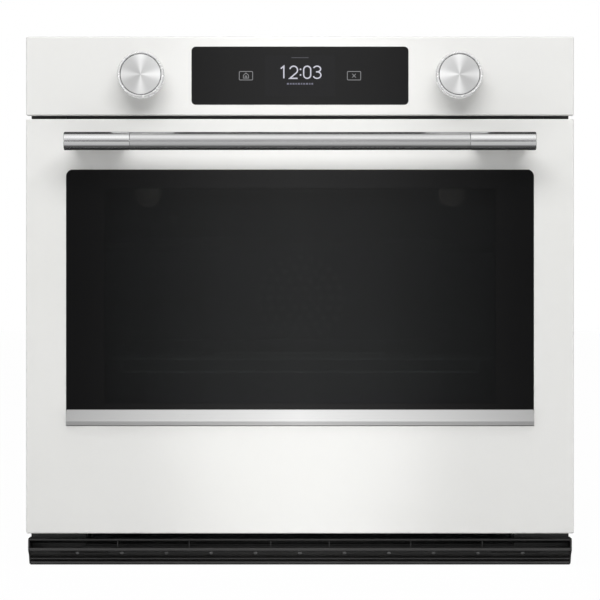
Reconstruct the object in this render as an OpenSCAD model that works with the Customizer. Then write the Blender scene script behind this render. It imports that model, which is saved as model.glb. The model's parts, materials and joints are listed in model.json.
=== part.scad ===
// Built-in single wall oven with a drop-down door, two push-turn knobs and a bottom air vent.
// Millimetres. +Z is up and the front faces -Y. The origin is at the bottom centre of the overall box.

/* [Front] */
// Width of the door and of the control panel
front_w = 762; // [758:1:766]
// Height of the control panel
panel_h = 109; // [104:1:109]
// Gap between the control panel and the door
gap_h = 5; // [4:0.5:6]
// Height of the door
door_h = 577.5; // [575:0.5:579]
// Height of the door's lower edge above the platform
door_z = 46.5; // [46:0.5:48]
// Depth from the door's face to the face of the cabinet
front_d = 50; // [50:0.5:52]
// Reach of the handle in front of the door's face
handle_reach = 60; // [56:1:62]

/* [Body] */
// Width of the recessed body between the mounting rails
body_w = 720; // [718:1:722]
// Height of the body's underside above the platform
body_z = 24; // [24:0.5:24.5]
// Height of the body's top above the platform
body_top = 708; // [706:1:712]
// Depth behind the face of the cabinet
recess_d = 590; // [588:1:594]
// Thickness of the outer sheet steel
sheet = 0.9; // [0.8:0.1:1]

/* [Cavity] */
// Inside width of the oven cavity
cavity_w = 635; // [630:1:636]
// Inside height of the oven cavity
cavity_h = 445; // [440:1:446]
// Height of the cavity floor above the platform
cavity_z = 152; // [151:0.5:153]
// Inside depth of the cavity
cavity_d = 505; // [503:1:506]
// Thickness of the enamelled sheet steel
liner = 1.2; // [1:0.1:1.5]
// Number of rack positions
rack_positions = 7; // [7:1:7]
// Height from one rack position to the next
rack_pitch = 53.3; // [52.5:0.1:53.5]
// Height of the lowest rack above the platform
rack_low = 182.4; // [181:0.1:183]
// Distance between the long wires of a rack
wire_pitch = 39.4; // [38:0.1:39.5]

/* [Window] */
// Width of the window in the door
window_w = 651; // [640:1:652]
// Height of the window's lower edge, under the sill trim
window_z = 196; // [195:0.5:198]
// Height of the window's upper edge
window_top = 553; // [550:1:554]
// Height of the sill trim across the foot of the window
sill_h = 22.7; // [20:0.1:24]
// Reach of the sill trim in front of the glass
sill_reach = 12; // [9:0.5:13]

/* [Controls] */
// Width of the display glass
display_w = 302; // [290:1:306]
// Height of the display glass
display_h = 81; // [76:1:82]
// Distance of each knob from the middle
knob_x = 220.5; // [218:0.5:226]
// Diameter of a knob
knob_d = 64; // [60:1:66]
// Depth of a knob
knob_depth = 26; // [24:1:28]
// Travel of a knob when it is pushed
push_travel = 1.5; // [1:0.1:1.6]

/* [Handle] */
// Overall length of the handle
handle_l = 649; // [640:1:652]
// Length of each polished end sleeve
sleeve_l = 90.5; // [88:0.5:94]
// Diameter of the handle
handle_d = 25; // [22:0.5:26]
// Height of the handle's middle above the platform
handle_z = 590; // [585:1:592]

/* [Vent] */
// Number of rivets along the vent trim
rivet_count = 11; // [11:2:11]
// Distance between neighbouring rivets
rivet_pitch = 62.3; // [61:0.1:63]

/* [Hidden] */
$fn = 64;

// A cut is made this much longer than the wall it goes through.
over = 1;

// Depth positions, front to back.
total_d = handle_reach + front_d + recess_d;
y_handle = -total_d / 2;
y_face = y_handle + handle_reach;
y_wall = y_face + front_d;
y_back = y_wall + recess_d;
frame_t = 2;
y_frame = y_wall - frame_t;
gasket_t = 6;
y_door_back = y_frame - gasket_t;
skin_t = 1.5;
skin_depth = 28;
y_skin_back = y_face + skin_depth;

// Height positions.
door_top = door_z + door_h;
panel_z = door_top + gap_h;
panel_top = panel_z + panel_h;
panel_mid = panel_z + panel_h / 2;
frame_z = 105;
cavity_top = cavity_z + cavity_h;
cavity_x = cavity_w / 2;
y_cavity_back = y_wall + cavity_d;
body_x = body_w / 2;
shell_x = body_x - sheet;
shell_top = body_top - sheet;
y_shell_back = y_back - 1.5;
blanket_t = 33;
blanket_top = cavity_top + liner + blanket_t;

// Door hinge: the axis runs along X through this point.
hinge_y = y_face + 20;
hinge_z = door_z + 27;
hinge_x = 340;
hinge_pin_r = 4;
channel_w = 24;
rod_travel = 16;
rod_r = 3;
seat_z = 262;
abutment_z = 150;

// Racks.
upper_rack_z = rack_low + 5 * rack_pitch;
lower_rack_z = rack_low + 2 * rack_pitch;
rail_r = 3.2;
wire_r = 2.2;
rack_x = cavity_x - 7.5;
rack_front = y_wall + 20;
rack_back = y_wall + 452;
rack_bend = 10;
rack_play = 0.3;
wire_rise = rail_r + wire_r - 0.6;
ledge_w = 12;

// Convection fan and blower.
fan_z = cavity_z + cavity_h / 2;
fan_r = 75;
shaft_r = 4;
blower_x = 210;
blower_y = y_wall + 470;
blower_r = 80;
blower_z = 652;
blower_h = 48;
blower_shaft_r = 3;
tube_r = 3.3;

// Controls.
knob_back = y_face - 2;
knob_front = knob_back - knob_depth;
bushing_r = 7;
knob_shaft_r = 3;
shaft_play = 0.06;
carrier_y = y_face + 4;
carrier_t = 2.5;
encoder_back = carrier_y + 18;
shaft_end = carrier_y + 12;

// Mounting screws and the power cable's entry.
mount_hole_r = 2.6;
mount_x = body_x + 9;
mount_z = [150, 590];
rail_w = 18;
entry_x = -270;
entry_z = 645;
entry_r = 11.2;

// Latch.
latch_x = -60;
latch_y = y_wall + 18;
latch_z = 616;
latch_t = 2.5;
latch_slot_x = [-80, -48];

// ---------- Shared shapes ----------

// A block between two opposite corners.
module block(lo, hi) { translate(lo) cube(hi - lo); }

// Round bars along the three axes, from a start point.
module bar_x(r, p, l) { translate(p) rotate([0, 90, 0]) cylinder(r = r, h = l); }
module bar_y(r, p, l) { translate(p) rotate([-90, 0, 0]) cylinder(r = r, h = l); }
module bar_z(r, p, l) { translate(p) cylinder(r = r, h = l); }

// A flat shape drawn in X and Z, made solid from one depth to another.
module slab_xz(y0, y1) { translate([0, y1, 0]) rotate([90, 0, 0]) linear_extrude(y1 - y0) children(); }

// A profile drawn in Y and Z, made solid along X between two places.
module run_x(x0, x1) {
    translate([x0, 0, 0]) rotate([90, 0, 90]) linear_extrude(x1 - x0) children();
}

// A rectangle with round corners, between two opposite corners.
module round_rect(lo, hi, r) {
    translate([lo.x + r, lo.y]) square([hi.x - lo.x - 2 * r, hi.y - lo.y]);
    translate([lo.x, lo.y + r]) square([hi.x - lo.x, hi.y - lo.y - 2 * r]);
    for (x = [lo.x + r, hi.x - r], y = [lo.y + r, hi.y - r]) translate([x, y]) circle(r);
}

// The outline of a bent sheet of thickness t that follows a line of points.
function side_of(p, q) = let (d = q - p) [-d.y, d.x] / norm(d);
function miter(pts, i) =
    i == 0 ? side_of(pts[0], pts[1])
    : i == len(pts) - 1 ? side_of(pts[i - 1], pts[i])
    : let (a = side_of(pts[i - 1], pts[i]), b = side_of(pts[i], pts[i + 1])) (a + b) / (1 + a * b);
function ribbon(pts, t) = concat(
    [for (i = [0 : len(pts) - 1]) pts[i] + miter(pts, i) * t / 2],
    [for (i = [len(pts) - 1 : -1 : 0]) pts[i] - miter(pts, i) * t / 2]
);

// A shape and its mirror image on the other side of the oven.
module both_sides() {
    children();
    mirror([1, 0, 0]) children();
}

// A quarter or half turn of round bar in the XY plane, about a centre.
module bend_xy(centre, bend, r, start, turn) {
    translate(centre) rotate([0, 0, start]) rotate_extrude(angle = turn) translate([bend, 0]) circle(r);
}

// A pan-head screw whose head stands on a face and points along -Y.
module screw_y(p, head_r = 4.5, head_h = 1.5, shank_r = 2, shank_l = 3) {
    bar_y(head_r, [p.x, p.y - head_h, p.z], head_h);
    bar_y(shank_r, [p.x, p.y - over / 2, p.z], shank_l + over / 2);
}

// ---------- Body shell ----------

module front_frame() {
    color("#1c1c1e") {
        difference() {
            slab_xz(y_frame, y_wall) difference() {
                translate([-body_x, frame_z]) square([body_w, shell_top - frame_z]);
                round_rect([-cavity_x, cavity_z], [cavity_x, cavity_top], 12);
            }
            block([latch_slot_x[0] - 2, y_frame - over, latch_z - 2],
                [latch_slot_x[1] + 2, y_wall + over, latch_z + latch_t + 2]);
        }
        // Stiffening lip under the frame.
        block([-300, y_wall, frame_z], [300, y_wall + 30, frame_z + frame_t]);
    }
}

module mounting_rails() {
    color("#26262a") both_sides() difference() {
        union() {
            block([body_x, y_frame, frame_z + 3], [body_x + rail_w, y_wall, shell_top]);
            block([body_x, y_wall, frame_z + 3], [body_x + 1.5, y_wall + 25, shell_top]);
        }
        for (z = mount_z) bar_y(mount_hole_r, [mount_x, y_frame - over, z], frame_t + 2 * over);
    }
}

module side_panel() {
    flange = 12;
    difference() {
        union() {
            block([shell_x, y_wall, body_z + sheet], [body_x, y_shell_back, body_top]);
            block([shell_x - flange, y_wall, frame_z + 3], [shell_x, y_wall + sheet, shell_top]);
        }
        // Air slots near the top rear corner.
        for (i = [0 : 5]) block([shell_x - over, y_back - 60 - i * 22, 650], [body_x + over, y_back - 52 - i * 22, 690]);
    }
}

module left_side_panel() { color("#b9bcc0") mirror([1, 0, 0]) side_panel(); }

module right_side_panel() { color("#b9bcc0") side_panel(); }

module top_panel() {
    slot_l = 60;
    color("#b9bcc0") difference() {
        block([-shell_x, y_wall, shell_top], [shell_x, y_shell_back, body_top]);
        for (i = [-3 : 3], j = [0 : 1])
            block([i * 92 - slot_l / 2, y_wall + 60 + j * 20, shell_top - over],
                [i * 92 + slot_l / 2, y_wall + 66 + j * 20, body_top + over]);
        for (i = [0 : 7])
            block([blower_x - 50, blower_y - 52 + i * 14, shell_top - over],
                [blower_x + 50, blower_y - 46 + i * 14, body_top + over]);
    }
}

module back_panel() {
    color("#b9bcc0") difference() {
        block([-shell_x, y_shell_back - sheet, body_z + sheet], [shell_x, y_shell_back, shell_top]);
        bar_y(16, [entry_x, y_shell_back - sheet - over, entry_z], sheet + 2 * over);
        for (i = [0 : 8], side = [-1, 1])
            block([side * 110 - 40, y_shell_back - sheet - over, 470 + i * 12],
                [side * 110 + 40, y_shell_back + over, 474 + i * 12]);
    }
}

module base_pan() {
    toe_top = frame_z - 1;
    y_toe = y_wall + 3;
    color("#8f9296") difference() {
        union() {
            block([-body_x, y_wall, body_z], [body_x, y_shell_back, body_z + sheet]);
            block([-shell_x + 1, y_toe, body_z], [shell_x - 1, y_toe + sheet, toe_top]);
            block([-shell_x + 1, y_toe, toe_top - sheet], [shell_x - 1, y_toe + 14, toe_top]);
        }
        // Mouth of the cooling duct and openings for the hinge arms.
        block([-300, y_toe - over, body_z + sheet + 2], [300, y_toe + sheet + over, 57]);
        for (side = [-1, 1])
            block([side * hinge_x - 11, y_toe - over, 56], [side * hinge_x + 11, y_toe + sheet + over, 92]);
    }
}

module base_runners() {
    w = 50;
    t = 2;
    color("#6f7276") both_sides() run_x(255, 255 + w) polygon([
        [y_wall + 10, 0], [y_back - 20, 0], [y_back - 20, body_z], [y_back - 20 - t, body_z],
        [y_back - 20 - t, t], [y_wall + 10 + t, t], [y_wall + 10 + t, body_z], [y_wall + 10, body_z]
    ]);
    color("#6f7276") both_sides() for (x = [255, 255 + w - t])
        block([x, y_wall + 10, 0], [x + t, y_back - 20, body_z]);
}

// ---------- Cavity ----------

module side_wall() {
    front = y_wall + 14;
    back = y_cavity_back - 45;
    block([cavity_x, y_wall, cavity_z - liner], [cavity_x + liner, y_cavity_back, cavity_top + liner]);
    // Pressed ledges that carry the racks.
    for (i = [0 : rack_positions - 1]) let (top = rack_low + i * rack_pitch - rail_r - rack_play)
        translate([0, back, 0]) rotate([90, 0, 0]) linear_extrude(back - front) polygon([
            [cavity_x + 0.5, top], [cavity_x - ledge_w, top], [cavity_x - ledge_w, top - 2.5],
            [cavity_x - ledge_w + 2, top - 5], [cavity_x + 0.5, top - 11]
        ]);
}

module cavity_left_wall() { color("#3a3f4a") mirror([1, 0, 0]) side_wall(); }

module cavity_right_wall() { color("#3a3f4a") side_wall(); }

module cavity_ceiling() {
    color("#3a3f4a") difference() {
        block([-cavity_x, y_wall, cavity_top], [cavity_x, y_cavity_back, cavity_top + liner]);
        bar_z(12, [120, y_wall + 90, cavity_top - over], liner + 2 * over);
    }
    // Flue that lets steam out into the cooling air.
    color("#3a3f4a") difference() {
        bar_z(14, [120, y_wall + 90, cavity_top + liner], blanket_t + 4);
        bar_z(12, [120, y_wall + 90, cavity_top], blanket_t + 2 * liner + 4);
    }
}

module cavity_floor() {
    color("#3a3f4a") difference() {
        block([-cavity_x, y_wall, cavity_z - liner], [cavity_x, y_cavity_back, cavity_z]);
        // Shallow pressed tray.
        translate([0, 0, cavity_z - 0.6]) linear_extrude(1)
            round_rect([-cavity_x + 28, y_wall + 28], [cavity_x - 28, y_cavity_back - 28], 25);
    }
}

lamp_x = 240;
lamp_z = 540;
lamp_r = 21;
probe_x = -200;
probe_z = 500;
broil_z = cavity_top - 12;
broil_x = 175;
bake_z = cavity_z - 24;
conv_ring = 95;
conv_leg = 12;

module cavity_back_wall() {
    color("#3a3f4a") difference() {
        block([-cavity_x - liner, y_cavity_back, cavity_z - liner],
            [cavity_x + liner, y_cavity_back + liner, cavity_top + liner]);
        for (side = [-1, 1]) {
            bar_y(lamp_r + 0.3, [side * lamp_x, y_cavity_back - over, lamp_z], liner + 2 * over);
            bar_y(tube_r + 1, [side * broil_x, y_cavity_back - over, broil_z], liner + 2 * over);
            bar_y(tube_r + 1, [side * conv_leg, y_cavity_back - over, fan_z - conv_ring], liner + 2 * over);
        }
        bar_y(shaft_r + 2, [0, y_cavity_back - over, fan_z], liner + 2 * over);
        bar_y(3.5, [probe_x, y_cavity_back - over, probe_z], liner + 2 * over);
    }
}

module insulation_blanket() {
    x = body_x - 9;
    low = 80;
    inner_x = cavity_x + liner + 0.5;
    y_rear = y_cavity_back + liner + blanket_t;
    color("#d9cfa8") difference() {
        block([-x, y_wall + 6, low], [x, y_rear, blanket_top]);
        // Room for the frame's lip and the toe plate.
        block([-x - over, y_wall, low - over], [x + over, y_wall + 32, frame_z + 3]);
        block([-inner_x, y_wall, cavity_z - 45], [inner_x, y_cavity_back + liner + 0.5, cavity_top + liner + 0.5]);
        bar_y(50, [0, y_cavity_back - over, fan_z], blanket_t + 10);
        bar_y(30, [0, y_cavity_back - over, fan_z - conv_ring + 10], blanket_t + 10);
        for (side = [-1, 1]) {
            bar_y(lamp_r + 6, [side * lamp_x, y_cavity_back - over, lamp_z], blanket_t + 10);
            bar_y(8, [side * broil_x, y_cavity_back - over, broil_z], blanket_t + 10);
            bar_y(8, [side * broil_x, y_cavity_back - over, bake_z], blanket_t + 10);
            // Room for the hinge receivers.
            block([side * hinge_x - 17, y_wall, 50], [side * hinge_x + 17, y_wall + 60, 98]);
        }
        bar_y(10, [probe_x, y_cavity_back - over, probe_z], blanket_t + 10);
        bar_z(15, [120, y_wall + 90, cavity_top], blanket_t + 10);
        block([latch_x - 46, y_wall, cavity_top + 12], [latch_x + 46, y_wall + 90, blanket_top + over]);
    }
}

module door_gasket() {
    in = 3;
    out = 12;
    color("#55585c") slab_xz(y_door_back, y_frame) difference() {
        round_rect([-cavity_x - out, cavity_z - out], [cavity_x + out, cavity_top + out], 18);
        round_rect([-cavity_x - in, cavity_z - in], [cavity_x + in, cavity_top + in], 12);
    }
}

// Six parallel runs joined by half-turn bends; both ends leave through the back.
module serpentine(z, y_rear) {
    pitch = 2 * broil_x / 5;
    y_front_bend = y_wall + 75;
    y_back_bend = y_wall + 410;
    for (i = [0 : 5]) {
        outer = i == 0 || i == 5;
        bar_y(tube_r, [-broil_x + i * pitch, y_front_bend, z], (outer ? y_rear : y_back_bend) - y_front_bend);
    }
    for (i = [0 : 4]) let (x = -broil_x + (i + 0.5) * pitch)
        if (i % 2 == 0) bend_xy([x, y_front_bend, z], pitch / 2, tube_r, 180, 180);
        else bend_xy([x, y_back_bend, z], pitch / 2, tube_r, 0, 180);
}

module broil_element() {
    color("#4a4644") serpentine(broil_z, y_cavity_back + 40);
    // Hangers from the ceiling.
    color("#8f9296") for (x = [-105, 105], y = [y_wall + 130, y_wall + 350])
        block([x - 4, y - 1, broil_z + tube_r - 0.4], [x + 4, y + 1, cavity_top]);
}

module bake_element() { color("#4a4644") serpentine(bake_z, y_cavity_back + 40); }

module convection_element() {
    y = y_cavity_back - 15;
    gap = asin(conv_leg / conv_ring);
    color("#4a4644") {
        translate([0, y, fan_z]) rotate([90, 0, 0]) rotate([0, 0, 270 + gap])
            rotate_extrude(angle = 360 - 2 * gap) translate([conv_ring, 0]) circle(tube_r);
        for (side = [-1, 1]) translate([side * conv_leg, y, fan_z - conv_ring * cos(gap)]) {
            sphere(tube_r + 0.7);
            bar_y(tube_r, [0, 0, 0], 55);
        }
    }
}

module fan_baffle() {
    half = 150;
    front = y_cavity_back - 38;
    t = 1.2;
    color("#3a3f4a") difference() {
        union() {
            slab_xz(front, front + t) round_rect([-half, fan_z - half], [half, fan_z + half], 20);
            slab_xz(front, y_cavity_back) difference() {
                round_rect([-half, fan_z - half], [half, fan_z + half], 20);
                round_rect([-half + t, fan_z - half + t], [half - t, fan_z + half - t], 20 - t);
            }
        }
        // Suction holes in rings and delivery slots along the edges.
        for (ring = [1 : 4], i = [0 : 6 * ring - 1]) let (a = i * 60 / ring)
            bar_y(4.5, [16 * ring * cos(a), front - over, fan_z + 16 * ring * sin(a)], t + 2 * over);
        for (side = [-1, 1], i = [-3 : 3]) {
            block([side * half - 3, front + 10, fan_z + i * 36 - 13], [side * half + 3, front + 30, fan_z + i * 36 + 13]);
            block([i * 36 - 13, front + 10, fan_z + side * half - 3], [i * 36 + 13, front + 30, fan_z + side * half + 3]);
        }
    }
}

module convection_motor() {
    y0 = y_cavity_back + liner + blanket_t;
    color("#9a9da1") difference() {
        union() {
            bar_y(36, [0, y0 + 4, fan_z], 30);
            bar_y(12, [0, y0 - 18, fan_z], 24);
            block([-62, y0, fan_z - 14], [62, y0 + 3, fan_z + 14]);
            block([-14, y0 + 2, fan_z - 48], [14, y0 + 6, fan_z + 48]);
        }
        bar_y(shaft_r + 0.08, [0, y0 - 20, fan_z], 46);
    }
}

module cavity_lamps() {
    // A steel cup, a bulb and a glass lens for each lamp.
    for (side = [-1, 1]) translate([side * lamp_x, 0, lamp_z]) {
        color("#c9ccd0") difference() {
            bar_y(lamp_r + 4, [0, y_cavity_back + liner, 0], 30);
            bar_y(lamp_r, [0, y_cavity_back, 0], 28);
        }
        color("#ffe9b0") bar_y(6, [0, y_cavity_back + 10, 0], 18);
        color("#e8f0f0") translate([0, y_cavity_back + liner, 0]) rotate([90, 0, 0])
            rotate_extrude() polygon([[0, 0], [lamp_r, 0], [lamp_r, 3], [lamp_r - 4, 6], [0, 8]]);
    }
}

module temperature_probe() {
    color("#c9ccd0") {
        bar_y(2.5, [probe_x, y_cavity_back - 90, probe_z], 90 + liner + blanket_t);
        bar_y(7, [probe_x, y_cavity_back - 2, probe_z], 2);
        for (y = [y_cavity_back - 60]) block([probe_x - 5, y, probe_z - 1], [probe_x + 5, y + 4, probe_z + 1]);
    }
}

// ---------- Controls ----------

module control_fascia() {
    depth = 12;
    x = front_w / 2;
    color("#ecece9") difference() {
        union() {
            slab_xz(y_face, y_face + skin_t) difference() {
                translate([-x, panel_z]) square([front_w, panel_h]);
                round_rect([-display_w / 2, panel_mid - display_h / 2], [display_w / 2, panel_mid + display_h / 2], 6);
                for (side = [-1, 1]) translate([side * knob_x, panel_mid]) circle(bushing_r + 1);
            }
            slab_xz(y_face, y_face + depth) difference() {
                translate([-x, panel_z]) square([front_w, panel_h]);
                translate([-x + skin_t, panel_z + skin_t]) square([front_w - 2 * skin_t, panel_h - 2 * skin_t]);
            }
        }
    }
}

module fascia_carrier() {
    x = front_w / 2 - 4;
    lo = panel_z + 2.5;
    hi = panel_top - 2.5;
    color("#17181a") difference() {
        union() {
            slab_xz(carrier_y, carrier_y + carrier_t) difference() {
                translate([-x, lo]) square([2 * x, hi - lo]);
                translate([-54, panel_mid - 32]) square([108, 64]);
                for (side = [-1, 1]) translate([side * knob_x, panel_mid]) circle(bushing_r + 0.2);
            }
            slab_xz(carrier_y, y_frame) difference() {
                translate([-x, lo]) square([2 * x, hi - lo]);
                translate([-x + carrier_t, lo + carrier_t])
                    square([2 * (x - carrier_t), hi - lo - 2 * carrier_t]);
            }
            // Ribs that stiffen the carrier between the display and the knobs.
            for (rib = [-180, 180, -290, 290])
                block([rib - 1, carrier_y + carrier_t, lo + carrier_t], [rib + 1, carrier_y + 16, hi - carrier_t]);
        }
        // Slots that let air fall past the door.
        for (i = [-8 : 8]) block([i * 42 - 14, y_frame - 22, lo - over], [i * 42 + 14, y_frame - 10, lo + carrier_t + over]);
    }
}

module display_glass() {
    play = 0.4;
    color("#0b0b0d") slab_xz(y_face + 0.1, carrier_y) round_rect(
        [-display_w / 2 + play, panel_mid - display_h / 2 + play],
        [display_w / 2 - play, panel_mid + display_h / 2 - play], 6 - play);
}

module display_board() {
    y_pcb = carrier_y + carrier_t + 1.5;
    color("#101418") block([-52, carrier_y, panel_mid - 30], [52, y_pcb, panel_mid + 30]);
    color("#1f6b3a") block([-140, y_pcb, panel_mid - 36], [140, y_pcb + 1.6, panel_mid + 36]);
    color("#202226") for (p = [[-110, -10], [-70, 12], [75, -12], [110, 8]])
        block([p.x - 12, y_pcb + 1.6, panel_mid + p.y - 9], [p.x + 12, y_pcb + 5, panel_mid + p.y + 9]);
    color("#e6e2d0") for (x = [-30, 0, 30])
        block([x - 9, y_pcb + 1.6, panel_mid - 30], [x + 9, y_pcb + 9, panel_mid - 22]);
    // Spacers against the carrier.
    color("#c9ccd0") for (x = [-130, 130], z = [-28, 28])
        bar_y(3, [x, carrier_y + carrier_t, panel_mid + z], 1.5);
}

module knob_encoders() {
    color("#9a9da1") for (side = [-1, 1]) translate([side * knob_x, 0, panel_mid]) difference() {
        union() {
            block([-15, carrier_y + carrier_t, -15], [15, encoder_back, 15]);
            bar_y(bushing_r, [0, y_face - 1, 0], carrier_y + carrier_t - y_face + 1 + over);
        }
        bar_y(knob_shaft_r + shaft_play, [0, y_face - 2, 0], encoder_back - y_face + 1);
    }
}

module knob(side) {
    r = knob_d / 2;
    translate([side * knob_x, knob_back, panel_mid]) rotate([90, 0, 0]) {
        color("#c4c6c8") rotate_extrude() polygon([
            [knob_shaft_r, 10], [9, 10], [9, 6], [bushing_r + 3, 0], [r - 1.5, 0], [r - 0.3, 1.2],
            [r, 4], [r, knob_depth - 1.6], [r - 0.5, knob_depth - 0.4], [r - 1.4, knob_depth],
            [r - 2.6, knob_depth], [r - 3, knob_depth - 1.4], [r - 4, knob_depth - 1.4],
            [r - 4.3, knob_depth - 0.2], [0, knob_depth - 0.2], [0, knob_depth - 4], [knob_shaft_r, knob_depth - 4]
        ]);
        // Steel shaft, pressed into the knob.
        color("#9a9da1") translate([0, 0, knob_back - shaft_end]) cylinder(r = knob_shaft_r,
            h = shaft_end - knob_back + knob_depth - 4);
    }
}

module left_knob() { knob(-1); }

module right_knob() { knob(1); }

// The encoder's push plunger, behind the end of the knob's shaft.
module plunger(side) {
    color("#d8d4c6") bar_y(2.6, [side * knob_x, shaft_end, panel_mid], 2.5);
}

module left_plunger() { plunger(-1); }

module right_plunger() { plunger(1); }

module power_board() {
    z = blanket_top + 6;
    x0 = -330;
    y0 = y_wall + 240;
    color("#8f9296") for (x = [x0 + 6, x0 + 164], y = [y0 + 6, y0 + 194]) bar_z(3.5, [x, y, blanket_top], 6);
    color("#1f6b3a") block([x0, y0, z], [x0 + 170, y0 + 200, z + 1.6]);
    color("#202226") for (i = [0 : 4]) block([x0 + 12 + i * 30, y0 + 150, z + 1.6], [x0 + 36 + i * 30, y0 + 180, z + 20]);
    color("#b87333") block([x0 + 20, y0 + 30, z + 1.6], [x0 + 80, y0 + 80, z + 40]);
    color("#e6e2d0") for (i = [0 : 2]) block([x0 + 100, y0 + 20 + i * 36, z + 1.6], [x0 + 155, y0 + 44 + i * 36, z + 12]);
}

// ---------- Cooling air ----------

module blower_housing() {
    t = 1.5;
    y_out = y_back - 44;
    color("#a9acb0") difference() {
        union() {
            bar_z(blower_r, [blower_x, blower_y, blower_z], blower_h);
            block([blower_x - 70, blower_y, blower_z], [blower_x + 70, y_out, blower_z + blower_h]);
        }
        bar_z(blower_r - t, [blower_x, blower_y, blower_z + t], blower_h - 2 * t);
        block([blower_x - 70 + t, blower_y, blower_z + t], [blower_x + 70 - t, y_out + over, blower_z + blower_h - t]);
        bar_z(46, [blower_x, blower_y, blower_z + blower_h - t - over], t + 2 * over);
        bar_z(blower_shaft_r + 3, [blower_x, blower_y, blower_z - over], t + 2 * over);
        block([blower_x - 70, y_out, blower_z - over], [blower_x + 70, y_out + 20, blower_z + blower_h + over]);
    }
}

module blower_motor() {
    color("#6f7276") difference() {
        union() {
            bar_z(34, [blower_x, blower_y, blanket_top + 1], blower_z - blanket_top - 1);
            block([blower_x - 60, blower_y - 10, blanket_top], [blower_x + 60, blower_y + 10, blanket_top + 3]);
        }
        bar_z(blower_shaft_r + 0.06, [blower_x, blower_y, blanket_top + 4], 30);
    }
}

module blower_wheel() {
    r = 66;
    blades = 28;
    z0 = blower_z + 6;
    color("#c9ccd0") translate([blower_x, blower_y, 0]) {
        bar_z(blower_shaft_r, [0, 0, blanket_top + 5], z0 + 16 - blanket_top - 5);
        difference() {
            bar_z(9, [0, 0, z0], 16);
            bar_z(blower_shaft_r, [0, 0, z0 - over], 16 + 2 * over);
        }
        difference() {
            bar_z(r, [0, 0, z0], 1.2);
            bar_z(9, [0, 0, z0 - over], 1.2 + 2 * over);
        }
        for (i = [0 : blades - 1]) rotate([0, 0, i * 360 / blades])
            translate([r - 15, -0.6, z0 + 1.2]) cube([13, 1.2, 33]);
        translate([0, 0, z0 + 34.2]) difference() {
            cylinder(r = r, h = 1.2);
            translate([0, 0, -over]) cylinder(r = r - 14, h = 1.2 + 2 * over);
        }
    }
}

module cooling_duct() {
    t = 1;
    x0 = blower_x - 70;
    x1 = blower_x + 70;
    y0 = y_back - 44;
    y1 = y_shell_back - sheet - 1;
    low = body_z + sheet + 2;
    floor_top = 56;
    top = blower_z + blower_h;
    color("#a9acb0") difference() {
        union() {
            block([-299, y_wall + 3, low], [299, y1, floor_top]);
            block([x0, y0, low], [x1, y1, top]);
        }
        block([-299 + t, y_wall + 3 - over, low + t], [299 - t, y1 - t, floor_top - t]);
        block([x0 + t, y0 + t, low + t], [x1 - t, y1 - t, top - t]);
        block([x0 + t, y0 - over, blower_z + t], [x1 - t, y0 + t + over, top - t]);
    }
}

// Profile of the lower vent trim: a rolled lip, a slope and two stepped lips.
vent_front = y_face + 12;
vent_profile = [
    [vent_front + 3.5, 21.2], [vent_front + 0.9, 22.2], [vent_front + 0.9, 24.4], [vent_front + 3.5, 24.6],
    [vent_front + 7, 22.8], [vent_front + 12.5, 15.6], [vent_front + 19, 13.6], [vent_front + 19, 11.4],
    [vent_front + 13, 10.6], [vent_front + 12.6, 9], [vent_front + 19, 7.4], [vent_front + 19, 6.2],
    [vent_front + 12, 5.2], [vent_front + 11.6, 2.8], [vent_front + 15, 1.3], [y_wall - 4, 1.3],
    [y_wall - 4, 9]
];
vent_x = front_w / 2 - 1.5;
cap_t = 2;

module vent_trim() {
    color("#1b1b1d") run_x(-vent_x + cap_t, vent_x - cap_t) polygon(ribbon(vent_profile, 1.2));
    // End caps.
    color("#141416") both_sides() run_x(vent_x - cap_t, vent_x) polygon([
        [vent_front, 36], [vent_front + 3, 38.5], [y_wall, 38.5], [y_wall, 1], [vent_front + 22, 1],
        [vent_front + 17, 5], [vent_front + 12, 14], [vent_front, 22]
    ]);
    // Feet that carry the louver.
    color("#1b1b1d") both_sides() for (x = [41, 155, 255]) run_x(x - 0.8, x + 0.8) polygon([
        [vent_front + 9, 20.2], [vent_front + 12.6, 15.7], [vent_front + 18.6, 13.8], [vent_front + 18.6, 36.6],
        [vent_front + 9, 36.6]
    ]);
    // Blanking plates beside the air outlet.
    color("#141416") both_sides() block([302, y_wall - 2.4, 11], [vent_x - cap_t + over, y_wall - 1.2, 45.5]);
}

module vent_louver() {
    color("#1b1b1d") run_x(-vent_x + cap_t, vent_x - cap_t) polygon(ribbon([
        [vent_front + 1.5, 36.2], [vent_front + 2.2, 37.3], [vent_front + 26, 37.3], [y_wall - 7, 34], [y_wall - 5, 30]
    ], 1.2));
}

// ---------- Hinges, latch and power entry ----------

module hinge_arms() {
    arm_t = 6;
    y0 = hinge_y;
    z0 = hinge_z;
    color("#8a8d90") both_sides() {
        difference() {
            union() {
                translate([hinge_x - arm_t / 2, 0, 0]) {
                    bar_x(10, [0, y0, z0], arm_t);
                    run_x(0, arm_t) polygon([
                        [y0, z0 - 9], [y0 + 12, z0 - 9], [y_wall + 6, z0 - 8], [y_wall + 12, z0 - 11],
                        [y_wall + 40, z0 - 11], [y_wall + 40, z0 + 5], [y_wall + 20, z0 + 5],
                        [y_wall + 16, z0 + 8], [y0, z0 + 8]
                    ]);
                    run_x(0, arm_t) polygon([[y0 - 5, z0], [y0 + 5, z0], [y0 + 4, z0 + 16], [y0 - 4, z0 + 16]]);
                }
            }
            bar_x(hinge_pin_r + 0.07, [hinge_x - arm_t / 2 - over, y0, z0], arm_t + 2 * over);
        }
        // Receiver that the arm hooks into.
        for (x = [hinge_x - 8.5, hinge_x + arm_t / 2 + 0.5])
            block([x, y_wall + 8, z0 - 14], [x + 5, y_wall + 48, z0 + 14]);
        block([hinge_x - 8.5, y_wall + 8, z0 - 16], [hinge_x + 8.5, y_wall + 48, z0 - 14]);
    }
}

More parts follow.
